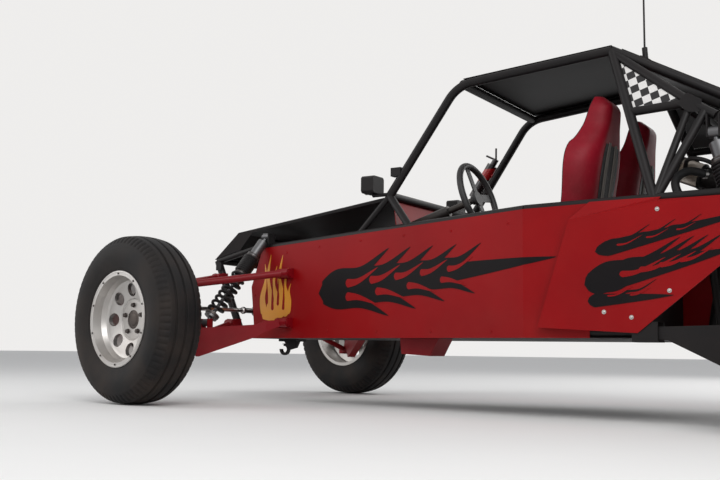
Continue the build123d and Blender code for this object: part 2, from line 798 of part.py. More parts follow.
def rim(half, face, bead_radius):
    """Deep dished wheel: lip ring, conical barrel, disc with round windows and a flat hub pad.
    half is half the width between the tyre seats, face the offset of the hub pad's outer side and
    bead_radius the tyre's radius at its bead."""
    inner = tyre_seat_radius - rim_wall
    lip_top = bead_radius + 7
    pad = 96
    section = [
        (-half - rim_lip, lip_top), (-half - rim_lip, inner), (face - 14, inner), (face + 2, inner - 34),
        (face - 12, pad), (face - 12, hub_bore_radius), (face, hub_bore_radius), (face, pad - 4), (face + 4, pad),
        (face + 22, inner - 34), (face + 28, inner - 24), (face + 50, inner - 14), (half + rim_lip, inner - 4),
        (half + rim_lip, lip_top), (half, lip_top), (half, tyre_seat_radius), (-half, tyre_seat_radius),
        (-half, lip_top)]
    wheel = turned(section, Vector(0, 0, 0))
    for count, circle, radius in ((window_count, window_circle_radius, window_radius),
                                  (lug_count, lug_circle_radius, lug_radius + seat_clearance)):
        hole = rod(Vector(0, face - 60, circle), Vector(0, face + 80, circle), radius)
        for index in range(count):
            wheel = wheel - hole.rotate(Axis.Y, index * 360 / count)
    return largest(wheel)


def hub_back(face):
    """Offset of the hub flange's outer side, which the wheel seats on."""
    return face - 12 - seat_clearance


def cap_inner(face):
    """Offset of the inner side of the hub's cap."""
    return face - cap_recess - cap_wall


def disc_range(face):
    """Offsets of the inner and outer sides of the brake disc."""
    inner = hub_back(face) - 44
    return inner, inner + disc_thickness


def hub(face, disc_radius, bore):
    """Hub with its flange, wheel studs, centring nose with a sunk cap, and the brake disc behind."""
    back = hub_back(face)
    disc_inner, disc_outer = disc_range(face)
    nose = hub_bore_radius - seat_clearance
    section = [(disc_inner, bore), (disc_inner, disc_radius), (disc_outer, disc_radius), (disc_outer, 48),
               (back - 9, 48), (back - 9, 82), (back, 82), (back, nose), (face - cap_recess, nose),
               (face - cap_recess, 0), (cap_inner(face), 0), (cap_inner(face), bore)]
    body = turned(section, Vector(0, 0, 0))
    stud = rod(Vector(0, back - 6, lug_circle_radius), Vector(0, face + stud_reach, lug_circle_radius), lug_radius)
    for index in range(lug_count):
        body = body + stud.rotate(Axis.Y, index * 360 / lug_count)
    return largest(body)


def caliper(face, disc_radius, low, high):
    """Brake caliper behind the axle, straddling the edge of its disc, and its mounting lug."""
    disc_inner, disc_outer = disc_range(face)
    reach = disc_radius + 26
    body = Solid.make_box(78, disc_thickness + 44, high - low, Plane(origin=(-reach, disc_inner - 22, low)))
    slot = Solid.make_box(disc_radius + 6, disc_thickness + 10, 2 * high + 40,
                          Plane(origin=(-disc_radius - 6, disc_inner - 5, low - 20)))
    lug = Solid.make_box(disc_radius - 48, 12, 44, Plane(origin=(-disc_radius + 30, disc_inner - 18, 10)))
    return (body - slot) + lug


def knuckle():
    """Front upright at straight ahead: spindle, ball joint ends, steering arm and brake caliper.
    Local frame: the wheel's centre at the origin, the axis along +Y outwards."""
    pin = -kingpin_offset
    disc_inner = disc_range(front_face)[0]
    low, high = -lower_ball_down, upper_ball_up
    upright = Solid.make_box(44, 36, high - low, Plane(origin=(-22, pin - 18, low)))
    spindle = rod(Vector(0, pin, 0), Vector(0, cap_inner(front_face) - 1, 0), spindle_radius)
    boss = rod(Vector(0, pin, 0), Vector(0, disc_inner - 6, 0), 40)
    arm_low = steering_arm_up - steering_arm_thickness
    arm = prism([Vector(-20, pin + 14, arm_low), Vector(-20, pin - 16, arm_low),
                 Vector(-steering_arm_length - 16, pin - 34, arm_low),
                 Vector(-steering_arm_length - 16, pin - 6, arm_low)], Vector(0, 0, steering_arm_thickness))
    pad = rod(Vector(-steering_arm_length, pin - 20, arm_low),
              Vector(-steering_arm_length, pin - 20, steering_arm_up), rod_end_radius + 1)
    return largest(upright + spindle + boss + arm + pad + caliper(front_face, front_disc_radius, 6, 86))


def left_front(shape):
    """Place a front wheel's local shape at the left wheel and turn it to the parked steering angle."""
    placed = shape.moved(Location(at(0, front_wheel_plane, front_tyre_radius)))
    return placed.rotate(Axis(at(0, kingpin_left, 0), (0, 0, 1)), -park_steer)


def right_front(shape):
    placed = mirrored(shape).moved(Location(at(0, -front_wheel_plane, front_tyre_radius)))
    return placed.rotate(Axis(at(0, -kingpin_left, 0), (0, 0, 1)), -park_steer)


def left_rear(shape):
    return shape.moved(Location(at(wheelbase, rear_wheel_plane, rear_tyre_radius)))


# Front suspension

def arm_sleeves(front, rear):
    """Pivot tubes of a front arm, along X; the rear one is longer, because its leg slants."""
    sleeves = []
    for pivot, half in ((front, pivot_half), (rear, rear_pivot_half)):
        sleeves.append(rod(pivot - Vector(half, 0, 0), pivot + Vector(half, 0, 0), arm_tube + 4))
    return sleeves


def upper_arm():
    """Two tubes from the frame pivots to the upper ball joint, with a cup at the ball joint."""
    ball_height = front_tyre_radius + upper_ball_up
    outer = at(0, kingpin_left, ball_height + ball_lift)
    front, rear = [at(back, rail_left(back) + pivot_outboard, upper_pivot_height)
                   for back in (front_pivot_back, rear_pivot_back)]
    whole = rod(front, outer, arm_tube) + rod(rear, outer, arm_tube)
    whole = whole + rod(at(0, kingpin_left, ball_height + face_clearance), outer + Vector(0, 0, ball_lift),
                        ball_cup_radius)
    whole = whole + rod(front + (outer - front) * 0.62, rear + (outer - rear) * 0.62, arm_tube - 4)
    for sleeve in arm_sleeves(front, rear):
        whole = whole + sleeve
    return largest(whole)


def lower_arm():
    """Boxed rear leg, deep near its outer end, a tube for the front leg, the lower ball joint cup
    and a clevis on top for the damper."""
    ball = at(0, kingpin_left, front_tyre_radius - lower_ball_down - ball_lift)
    front, rear = [at(back, rail_left(back) + pivot_outboard, lower_pivot_height)
                   for back in (lower_front_pivot_back, rear_pivot_back)]
    run = Vector(rear.X - ball.X, rear.Y - ball.Y, 0)
    length = run.length
    run = run.normalized()
    across = Vector(-run.Y, run.X, 0)
    foot = Vector(ball.X, ball.Y, 0)
    # distance from the ball joint, top and bottom of the boxed leg, half its width
    stations = [(length, 392, 366, 10), (length - 80, 386, 336, 20), (478, 368, 310, 20), (215, 348, 216, 20), (203, 347, 216, 20),
                (150, 332, 266, 18), (60, 264, 244, 16), (0, 264, 244, 16)]
    side = [foot + run * along + Vector(0, 0, up) for along, up, _, _ in stations]
    side += [foot + run * along + Vector(0, 0, up) for along, _, up, _ in reversed(stations)]
    leg = prism([point - across * 40 for point in side], across * 80)
    plan = [foot + run * along + across * half for along, _, _, half in stations]
    plan += [foot + run * along - across * half for along, _, _, half in reversed(stations)]
    leg = leg & prism([point + Vector(0, 0, 200) for point in plan], Vector(0, 0, 260))
    joint = foot + run * 70 + Vector(0, 0, 254)
    whole = leg + rod(front, joint, arm_tube - 3)
    whole = whole + rod(ball - Vector(0, 0, ball_lift), ball + Vector(0, 0, ball_lift - face_clearance),
                        ball_cup_radius)
    for sleeve in arm_sleeves(front, rear):
        whole = whole + sleeve
    back, left, up = front_shock_low
    seat = (left - 20, left + 24)
    whole = whole + block((back - eye_half - 7, back + eye_half + 40), seat, (336, 346))
    for side_sign in (1, -1):
        near, far = sorted((back + side_sign * (eye_half + face_clearance),
                            back + side_sign * (eye_half + face_clearance + bracket_wall)))
        whole = whole + block((near, far), (left - 18, left + 18), (340, up + 18))
    return largest(whole)


def damper(low, top, body, collar_drop):
    """Damper of a coil-over: eyes, shaft, body and the two spring seats, the upper one a collar at
    a distance below the upper eye."""
    start, end = at(*low), at(*top)
    axis = (end - start).normalized()
    length = (end - start).length
    eye = body * 0.72
    seat_radius = body * 1.3
    parts = rod(start + axis * (eye * 0.5), end - axis * (eye * 0.5), body * 0.35)
    parts = parts + rod(start + axis * (eye + 13), start + axis * (eye + 25), seat_radius)
    parts = parts + rod(start + axis * (length * 0.45), end - axis * (eye + 17), body)
    parts = parts + rod(end - axis * collar_drop, end - axis * (collar_drop - 12), seat_radius)
    for centre in (start, end):
        parts = parts + rod(centre - Vector(eye_half, 0, 0), centre + Vector(eye_half, 0, 0), eye)
    return largest(parts)


def coil_spring(low, top, body, collar_drop):
    """Coil spring round the damper, drawn as its stack of turns."""
    start, end = at(*low), at(*top)
    axis = (end - start).normalized()
    length = (end - start).length
    begin = body * 0.72 + 25 + seat_clearance
    stop = length - collar_drop - seat_clearance
    pitch = (stop - begin) / spring_turns
    outer, inner, neck = body * 1.36, body + 1, body * 1.16
    section = [(begin, inner)]
    for index in range(spring_turns):
        base = begin + index * pitch
        section += [(base + pitch * 0.15, neck), (base + pitch * 0.35, outer), (base + pitch * 0.65, outer),
                    (base + pitch * 0.85, neck)]
    section += [(stop, inner)]
    frame = Plane(origin=start, z_dir=axis)
    face = Face(Wire.make_polygon([frame.from_local_coords(Vector(radius, 0, along)) for along, radius in section]))
    return Solid.revolve(face, 360, Axis(start, axis))


# Rear suspension and drive

def trailing_arm():
    """Boxed arm, deep in the middle, from the frame pivot to the rear hub carrier, with the damper's
    clevis on its inner side and the brake caliper."""
    low_left, high_left = arm_inner_left, arm_outer_left
    reach = wheelbase - arm_pivot_back
    # share of the way from the pivot to the axle, height: along the top, then back along the bottom
    outline = [(-0.035, 318), (-0.015, 346), (0.293, 352), (0.64, 470), (0.938, 506), (1.062, 470), (1.067, 392),
               (0.888, 330), (0.64, 236), (0.442, 206), (0.293, 212), (0.07, 300), (-0.015, 308)]
    body = side_profile([(arm_pivot_back + share * reach, up) for share, up in outline], low_left, high_left)
    sleeve = rod(at(arm_pivot_back, low_left - 3.5, arm_pivot_height),
                 at(arm_pivot_back, high_left + 3.5, arm_pivot_height), 22)
    carrier_end = rear_wheel_plane + disc_range(rear_face)[0] - 6
    centre = (wheelbase, rear_tyre_radius)
    carrier = rod(at(centre[0], high_left - 4, centre[1]), at(centre[0], carrier_end, centre[1]), 62)
    spindle = rod(at(centre[0], high_left - 4, centre[1]),
                  at(centre[0], rear_wheel_plane + cap_inner(rear_face) - 1, centre[1]), rear_spindle_radius)
    whole = body + sleeve + carrier + spindle + left_rear(caliper(rear_face, rear_disc_radius, 0, 68))
    back, left, up = rear_shock_low
    for side in (1, -1):
        near, far = sorted((back + side * (eye_half + face_clearance),
                            back + side * (eye_half + face_clearance + bracket_wall + 2)))
        whole = whole + block((near, far), (left - 24, low_left + 2), (up - 24, up + 22))
    bore = rod(at(centre[0], 500, centre[1]), at(centre[0], 900, centre[1]), shaft_radius + 4)
    return largest(whole - bore)


def half_shaft():
    """Drive shaft in line with the wheel, with a boot at each end."""
    centre = at(wheelbase, 0, rear_tyre_radius)
    inner, outer = 132, rear_wheel_plane + cap_inner(rear_face) - seat_clearance
    section = [(inner, 0), (inner, 52), (inner + 34, 52), (inner + 80, 26), (inner + 96, 16), (470, 16),
               (480, 30), (506, 46), (530, 46), (530, shaft_radius), (outer, shaft_radius), (outer, 0)]
    return turned(section, Vector(centre.X, 0, centre.Z))


def engine(tubes):
    """Open engine: block with two inclined banks, ribbed covers, sump, pulleys, intake with runners
    and the cross-member that carries it on the cradle."""
    core = block((engine_back - engine_half, engine_back + 200), (-engine_core_left, engine_core_left), (470, 700))
    whole = core + block((engine_back - 150, engine_back + 160), (-105, 105), (400, 471))
    carrier = block((engine_back - 30, engine_back + 30), (-cradle_left - 19, cradle_left + 19), (340, 405))
    whole = whole + notched(carrier, tubes)
    bank = Solid.make_box(370, 2 * bank_half_width, bank_height, Plane(origin=(-185, -bank_half_width, 0)))
    bank = bank + Solid.make_box(350, 110, 46, Plane(origin=(-175, -55, bank_height - 1)))
    for rib in range(6):
        bank = bank + Solid.make_box(10, 128, 250, Plane(origin=(-150 + rib * 58, -64, 0)))
    for side in (1, -1):
        place = Location(at(engine_back, 60 * side, 600)) * Location((0, 0, 0), (-bank_tilt * side, 0, 0))
        whole = whole + bank.moved(place)
    for index in range(4):
        for side in (1, -1):
            back = engine_back - 160 + index * 94
            whole = whole + rod(at(back, 60 * side, 930), at(back, 128 * side, 745), 22)
    whole = whole + block((engine_back - 280, engine_back + 160), (-92, 92), (905, 985))
    whole = whole + rod(at(engine_back - 278, 0, 945), at(engine_back - 390, 0, 990), 44)
    front = engine_back - engine_half
    for left, up, radius in ((0, 560, 70), (60, 680, 42)):
        whole = whole + rod(at(front + 2, left, up), at(front - 26, left, up), radius)
    return largest(whole)


def transaxle():
    """Gearbox behind the engine with its output flanges and tail cover."""
    front = engine_back + 200 + seat_clearance
    middle, rear = wheelbase - 120, wheelbase + 130
    case = side_profile([(front, 400), (front, 640), (middle, 610), (rear, 560), (rear, 360), (middle, 350)], -100, 100)
    flange = 132 - seat_clearance
    cover = rod(at(wheelbase, -flange, rear_tyre_radius), at(wheelbase, flange, rear_tyre_radius), 66)
    tail = rod(at(rear - 10, 0, 470), at(rear + 40, 0, 470), 70)
    return largest(case + cover + tail)


def exhaust():
    """Header pipe from each bank to one silencer across the tail, with one outlet."""
    ends = [at(silencer_back, side * silencer_half, silencer_height) for side in (1, -1)]
    whole = rod(ends[0], ends[1], silencer_radius)
    outlet = at(silencer_back, 180, silencer_height)
    whole = whole + pipe(outlet, outlet - Vector(150, 0, 0), 30, 26) + rod(outlet, outlet - Vector(64, 0, 0), 30)
    tilt = radians(bank_tilt)
    along, out = 130, bank_half_width + seat_clearance
    port_left = 60 + along * sin(tilt) + out * cos(tilt)
    port_up = 600 + along * cos(tilt) - out * sin(tilt)
    for side in (1, -1):
        port = at(engine_back - 80, port_left * side, port_up)
        normal = Vector(0, cos(tilt) * side, -sin(tilt))
        path = [port, port + normal * 92, at(silencer_back - 160, 262 * side, 610),
                at(silencer_back, 215 * side, silencer_height - 10)]
        line = FilletPolyline(*path, radius=60)
        section = Plane(origin=port, z_dir=normal) * Circle(header_radius)
        whole = whole + sweep(section, line).solid()
    return largest(whole)


# Cockpit

def column_point(along):
    """A point on the steering column, measured from the wheel's centre towards the driver."""
    tilt = radians(column_angle)
    return at(wheel_centre_back + along * cos(tilt), wheel_centre_left, wheel_centre_height + along * sin(tilt))


def steering_column():
    """Column tube with its shroud, and the jointed shaft down to the rack."""
    joint = column_point(-540)
    pinion = at(rack_back, 110, rack_height + rack_tube_radius + seat_clearance + 22)
    along = (pinion - joint).normalized()
    whole = rod(joint, column_point(-29 - bearing_clearance), 14)
    whole = whole + rod(column_point(-372), column_point(-150), column_shroud_radius)
    whole = whole + rod(column_point(-566), column_point(-500), 19)
    whole = whole + rod(joint, pinion, 10) + rod(joint - along * 22, joint + along * 40, 17)
    whole = whole + rod(pinion - Vector(0, 0, 22), pinion + Vector(0, 0, 16), 19)
    return largest(whole)


def steering_wheel():
    """Round rim with three flat spokes, a hub and a release boss, turned with the parked wheels."""
    axis = (column_point(10) - column_point(0)).normalized()
    frame = Plane(origin=column_point(0), x_dir=(0, 1, 0), z_dir=axis)
    reach = steering_wheel_radius - steering_grip
    whole = Solid.make_torus(reach, steering_grip)
    whole = whole + Solid.make_cylinder(34, 12, Plane(origin=(0, 0, -10)))
    whole = whole + Solid.make_cylinder(20, 20, Plane(origin=(0, 0, -29)))
    spoke = Solid.make_box(reach - 20, 34, 6, Plane(origin=(20, -17, -6)))
    for angle in (0, 180, 270):
        whole = whole + spoke.rotate(Axis.Z, angle)
    return frame.location * whole.rotate(Axis.Z, -park_steer * steering_ratio)


def seat(left):
    """Bucket seat: a shell with side wings, a narrow head rest, and slots for the shoulder belts."""
    profile = [(1420, 400), (1400, 470), (1412, 530), (1640, 520), (1740, 560), (1800, 680), (1850, 800),
               (1861, 844), (1868, 1050), (1893, 1092), (1925, 1200), (1942, 1262), (1968, 1284), (2005, 1272),
               (2020, 1230), (1990, 1050), (1950, 800), (1905, 480), (1860, 400)]
    # half width and height of the seat's outline, seen from the front
    outline = [(200, 380), (205, 520), (178, 700), (196, 860), (205, 1000), (186, 1068), (118, 1120), (92, 1180),
               (82, 1250), (52, 1290)]
    gate = front_profile([(left + half, up) for half, up in outline]
                         + [(left - half, up) for half, up in reversed(outline)], 1200, 2200)
    shell = side_profile(profile, left - 220, left + 220) & gate
    hollow = side_profile([(1370, 560), (1640, 560), (1730, 600), (1800, 700), (1870, 850), (1915, 1000),
                           (1938, 1080), (1945, 1130), (1850, 1130), (1700, 1000), (1370, 900)],
                          left - 148, left + 148)
    tray = side_profile([(1370, 462), (1412, 470), (1640, 462), (1800, 480), (1740, 640), (1370, 640)],
                        left - 158, left + 158)
    shell = shell - hollow - tray
    for side in (1, -1):
        shell = shell - rod(at(1850, left + side * 46, 1080), at(2100, left + side * 46, 1110), 22)
    return largest(shell)


def seat_mounts(left):
    """Rails between the seat and the floor."""
    low = belly_height + panel_wall + seat_clearance
    mounts = []
    for side in (1, -1):
        middle = left + side * seat_rail_left
        mounts.append(block((1440, 1725), (middle - 18, middle + 18), (low, 400 - seat_clearance)))
    return mounts


def pedals():
    """Three floor-hinged pedals on one base plate."""
    low = belly_height + panel_wall + seat_clearance
    whole = block((pedal_back - 50, pedal_back + 40), (150, 335), (low, low + 8))
    for left in (180, 242, 304):
        whole = whole + rod(at(pedal_back, left, low + 4), at(pedal_back - 46, left, 500), 8)
        whole = whole + side_profile([(pedal_back - 50, 470), (pedal_back - 42, 470), (pedal_back - 54, 545),
                                      (pedal_back - 62, 545)], left - 24, left + 24)
    return largest(whole)


def shifter():
    """Gear lever and hand brake on a small tunnel box."""
    whole = block((1360, 1520), (-36, 36), (belly_height + panel_wall + seat_clearance, 420))
    whole = whole + rod(at(1440, 0, 415), at(1400, 12, 720), 9) + Solid.make_sphere(26, Plane(origin=at(1399, 12, 730)))
    whole = whole + rod(at(1500, -24, 415), at(1452, -30, 640), 8) + rod(at(1452, -30, 560), at(1436, -32, 650), 15)
    return largest(whole)


def lamp(tubes):
    """Square lamp pod on its bracket at the left cowl corner."""
    back, left, up = cowl_back - 90, cowl_left, cowl_height + 55
    pod = block((back - 34, back + 30), (left - 46, left + 46), (up - 38, up + 38))
    pod = chamfer(pod.edges().filter_by(Axis.X), 9)
    foot_up = cowl_height + 8
    stem = rod(at(back, left, up - 36), at(back + 6, left, foot_up), 8)
    foot = rod(at(back + 2, left, foot_up), at(cowl_back, left, foot_up), 8)
    return notched(pod + stem + foot, tubes)


def pillar_box():
    """Small closed box clamped to the front of the left windscreen pillar."""
    back, up = cowl_back + 12, cowl_height + 85
    box = block((back, back + 50), (cowl_left - 20, cowl_left + 16), (up, up + 38))
    pillar = rod(at(cowl_back, cowl_left, cowl_height), at(roof_front_back, roof_front_left, roof_front_height),
                 main_tube + seat_clearance)
    return largest(box - pillar)


def extinguisher():
    """Bottle clamped along the right windscreen pillar, with its head and two levers."""
    foot, top = at(cowl_back, -cowl_left, cowl_height), at(roof_front_back, -roof_front_left, roof_front_height)
    axis = (top - foot).normalized()
    out = Vector(axis.Z, 0, -axis.X).normalized()
    bottle_radius, stand = 27, 4
    low = foot + axis * 92 + out * (main_tube + bottle_radius + stand)
    whole = rod(low, low + axis * 190, bottle_radius) + rod(low + axis * 189, low + axis * 226, 15)
    whole = whole + rod(low + axis * 222, low + axis * 234 + Vector(58, 0, 16), 5)
    whole = whole + rod(low + axis * 224, low + axis * 272 + Vector(26, 0, 18), 5)
    for share in (45, 145):
        place = low + axis * share
        whole = whole + rod(place, place - out * (bottle_radius + stand + 6), 9)
    return largest(whole - mirrored(cage_rail(main_tube + seat_clearance)))


def antenna():
    """Spring base and thin whip on the rear deck behind the roof."""
    back, left = roof_rear_back + 110, 290
    normal = Vector(deck_rise, 0, 1).normalized()
    seat_point = at(back, left, deck_top(back)) + normal * (panel_wall + seat_clearance)
    base_top = seat_point + Vector(0, 0, 48)
    whole = rod(seat_point, seat_point + normal * 8, 24) + rod(seat_point + normal * 6, base_top, 11)
    return largest(whole + Solid.make_cone(4, 2.5, 1000, Plane(origin=base_top - Vector(0, 0, 6))))


def tie_rods():
    """Rack bar with a tie rod to each steering arm; the rod ends lie just above the arms' pads."""
    end_up = front_tyre_radius + steering_arm_up + face_clearance + rod_end_half
    bar_end = rack_ball_left + 4
    shapes = rod(at(rack_back, -bar_end, rack_height), at(rack_back, bar_end, rack_height), rack_bar_radius)
    for side in (1, -1):
        arm_tip = Vector(-steering_arm_length, -20 * side, 0).rotate(Axis.Z, -park_steer)
        end = at(0, kingpin_left * side, end_up) + arm_tip
        inner = at(rack_back, rack_ball_left * side, rack_height)
        shapes = shapes + rod(inner, end, tie_rod_radius) + Solid.make_sphere(18, Plane(origin=inner))
        half = Vector(0, 0, rod_end_half)
        shapes = shapes + rod(end - half, end + half, rod_end_radius)
    return largest(shapes)


def rack_housing():
    return pipe(at(rack_back, -rack_half_length, rack_height), at(rack_back, rack_half_length, rack_height),
                rack_tube_radius, rack_bar_radius + bearing_clearance)


def build():
    tubes = frame_tubes()
    groups, rails = coped_frame(tubes)
    save("lower_frame", *groups["lower"])
    save("roll_cage", *groups["cage"])
    save("cage_rails", *rails)
    save("frame_brackets", *frame_brackets(tubes))
    save("arm_brackets", *[shape for bracket in front_arm_brackets(tubes) for shape in both(bracket)])
    save("floor_pan", floor_pan())
    save("foot_box", foot_box())
    save("firewall", firewall())
    save("side_panels", *both(side_panel()))
    save("rear_panels", *both(rear_panel()))
    save("hood_panel", hood_panel(tubes))
    save("dash_panel", dash_panel(tubes))
    save("roof_panel", roof_panel())
    save("rear_deck", rear_deck())
    save("checker_panels", *both(checker_panel(tubes)))
    save("seat_left", seat(seat_middle))
    save("seat_right", seat(-seat_middle))
    save("seat_mounts", *seat_mounts(seat_middle), *seat_mounts(-seat_middle))
    save("steering_column", steering_column())
    save("pedals", pedals())
    save("shifter", shifter())
    save("engine", engine(tubes))
    save("transaxle", transaxle())
    save("exhaust", exhaust())
    save("front_upper_arms", *both(upper_arm()))
    save("front_lower_arms", *both(lower_arm()))
    coil_overs = ((front_shock_low, front_shock_top, front_shock_body, front_collar_drop),
                  (rear_shock_low, rear_shock_top, rear_shock_body, rear_collar_drop))
    save("dampers", *[shape for coil_over in coil_overs for shape in both(damper(*coil_over))])
    save("coil_springs", *[shape for coil_over in coil_overs for shape in both(coil_spring(*coil_over))])
    save("trailing_arms", *both(trailing_arm()))
    save("steering_rack", rack_housing())
    save("tie_rods", tie_rods())
    save("lamps", *both(lamp(tubes)), pillar_box())
    save("fire_extinguisher", extinguisher())
    save("antenna", antenna())
    save("steering_wheel", steering_wheel())
    front_shapes = {
        "knuckle": knuckle(), "front_rim": rim(front_rim_half, front_face, front_bead_radius),
        "front_tyre": front_tyre(),
        "front_hub": hub(front_face, front_disc_radius, spindle_radius + bearing_clearance)}
    rear_shapes = {
        "rear_rim": left_rear(rim(rear_rim_half, rear_face, rear_bead_radius)), "rear_tyre": left_rear(rear_tyre()),
        "rear_hub": left_rear(hub(rear_face, rear_disc_radius, rear_spindle_radius + bearing_clearance)),
        "half_shaft": half_shaft()}
    for name, shape in front_shapes.items():
        save(f"{name}_left", left_front(shape))
        save(f"{name}_right", right_front(shape))
    for name, shape in rear_shapes.items():
        save(f"{name}_left", shape)
        save(f"{name}_right", mirrored(shape))


build()
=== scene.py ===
"""Looks of a two-seat dune buggy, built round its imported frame.

Metres; +X forward, +Y left, +Z up, ground at Z 0. A place is given as (back, left, up) in
millimetres, measured behind the front axle, to the left of the middle plane and above the ground.
Sections, radii, walls and stands are in millimetres too.
"""
import json
from math import cos, pi, radians, sin, tau

import bmesh
import bpy
import numpy as np
from mathutils import Matrix, Vector


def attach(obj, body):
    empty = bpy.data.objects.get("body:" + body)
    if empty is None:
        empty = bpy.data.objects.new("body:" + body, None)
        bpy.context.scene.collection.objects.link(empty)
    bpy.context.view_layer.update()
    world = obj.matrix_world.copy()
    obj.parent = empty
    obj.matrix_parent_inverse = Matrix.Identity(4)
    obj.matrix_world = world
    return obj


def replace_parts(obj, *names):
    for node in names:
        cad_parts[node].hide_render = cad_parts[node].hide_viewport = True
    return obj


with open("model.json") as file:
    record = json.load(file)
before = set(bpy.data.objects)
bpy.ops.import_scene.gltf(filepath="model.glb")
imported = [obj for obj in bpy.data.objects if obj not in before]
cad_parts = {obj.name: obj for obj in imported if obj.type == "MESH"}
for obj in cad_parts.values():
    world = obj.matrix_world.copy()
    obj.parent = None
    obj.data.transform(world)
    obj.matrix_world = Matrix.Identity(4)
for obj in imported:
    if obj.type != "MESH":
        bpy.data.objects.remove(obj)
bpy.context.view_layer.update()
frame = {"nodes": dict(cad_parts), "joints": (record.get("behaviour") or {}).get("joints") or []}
nodes = frame["nodes"]
joints = {joint["name"]: joint for joint in frame["joints"]}
axle_x = joints["front_left_steer"]["pos_m"][0]

MM = 0.001
UP = np.array([0.0, 0.0, 1.0])
FORWARD = np.array([1.0, 0.0, 0.0])
MIRROR = np.array([1.0, -1.0, 1.0])
SIDES = (("left", 1), ("right", -1))
MERGE_DISTANCE = 1e-6


# Places and surfaces

def at(back, left, up):
    """Places in the scene, in metres, from millimetres; each argument may be an array."""
    back, left, up = np.broadcast_arrays(*(np.asarray(value, float) for value in (back, left, up)))
    return np.stack([axle_x - back * MM, left * MM, up * MM], axis=-1)


def unit(vectors):
    """Vectors divided by their lengths, along the last axis."""
    vectors = np.asarray(vectors, float)
    return vectors / np.linalg.norm(vectors, axis=-1, keepdims=True)


def grid_faces(rows, columns, close_rows=False, close_columns=False):
    """Quads between neighbouring points of a rows by columns grid, which may join up each way."""
    row, column = np.meshgrid(np.arange(rows if close_rows else rows - 1),
                              np.arange(columns if close_columns else columns - 1), indexing="ij")
    below, beside = (row + 1) % rows, (column + 1) % columns
    corners = [row * columns + column, below * columns + column,
               below * columns + beside, row * columns + beside]
    return np.stack(corners, axis=-1).reshape(-1, 4)


def sheet(points, close_rows=False, close_columns=False, cap_rows=False):
    """A shell from a grid of points; cap_rows closes the first and last row with one face each."""
    rows, columns = points.shape[:2]
    faces = grid_faces(rows, columns, close_rows, close_columns).tolist()
    if cap_rows:
        faces += [list(range(columns)), list(range((rows - 1) * columns, rows * columns))]
    return points.reshape(-1, 3), faces


def cross_frames(path, guide):
    """Two unit vectors across a path at each of its points: the one square to the path and to the
    guide, and the guide made square to the path."""
    along = unit(np.gradient(path, axis=0))
    side = unit(np.cross(along, guide))
    return side, np.cross(side, along)


def easy_guide(path):
    """The axis of the scene along which a path runs least."""
    run = np.abs(path[-1] - path[0])
    return np.eye(3)[int(np.argmin(run))]


def tube(path, radius, sides=12, guide=None):
    """A circle carried along a path: point + r (cos a side + sin a top), r one number or one a point."""
    path = np.asarray(path, float)
    side, top = cross_frames(path, easy_guide(path) if guide is None else guide)
    angle = np.linspace(0, tau, sides, endpoint=False)[None, :, None]
    reach = np.broadcast_to(np.asarray(radius, float) * MM, (len(path),))[:, None, None]
    ring = path[:, None] + reach * (np.cos(angle) * side[:, None] + np.sin(angle) * top[:, None])
    return sheet(ring, close_columns=True, cap_rows=True)


def axes_across(axis):
    """A unit vector along an axis and two square to it; the last is as upright as it can be."""
    axis = unit(axis)
    guide = UP if abs(axis[2]) < 0.9 else FORWARD
    first = unit(np.cross(guide, axis))
    return axis, first, np.cross(axis, first)


def turned(section, centre, axis, steps=64, closed=True):
    """An (offset, radius) section turned round an axis: centre + offset axis + radius (cos a, sin a).
    A section that isn't closed gets its two ends capped."""
    section = np.asarray(section, float) * MM
    axis, first, second = axes_across(axis)
    angle = (np.arange(steps) * tau / steps)[:, None]
    spoke = np.cos(angle) * first + np.sin(angle) * second
    points = np.asarray(centre) + section[:, None, :1] * axis + section[:, None, 1:] * spoke[None]
    return sheet(points, close_rows=closed, close_columns=True, cap_rows=not closed)


def curve(points, count):
    """A smooth path through a few points: each span is the cubic whose slopes at its ends are half
    the step between the neighbours (Catmull-Rom)."""
    points = np.asarray(points, float)
    padded = np.vstack([2 * points[0] - points[1], points, 2 * points[-1] - points[-2]])
    place = np.linspace(0, len(points) - 1, count)
    span = np.minimum(place.astype(int), len(points) - 2)
    share = (place - span)[:, None]
    before, start, end, after = (padded[span + shift] for shift in range(4))
    return 0.5 * (2 * start + (end - before) * share
                  + (2 * before - 5 * start + 4 * end - after) * share ** 2
                  + (3 * start - before - 3 * end + after) * share ** 3)


def smooth_run(points, count):
    """The curve through a few (back, left, up) points, as places in the scene."""
    return at(*np.transpose(curve(points, count)))


def ramp(value, low, high):
    """0 below low, 1 above high, with an even slope at both ends (3 s^2 - 2 s^3)."""
    share = np.clip((value - low) / (high - low), 0, 1)
    return share * share * (3 - 2 * share)


def pulse(value, middle, half, edge):
    """1 within half of the middle, 0 outside, with a slope as wide as edge."""
    return 1 - ramp(np.abs(value - middle), half - edge / 2, half + edge / 2)


def mirrored(shell):
    """A shell on the other side of the middle plane: its left becomes -left."""
    points, faces = shell
    return points * MIRROR, faces


def both(shells):
    """Shells with their mirror images."""
    return shells + [mirrored(shell) for shell in shells]


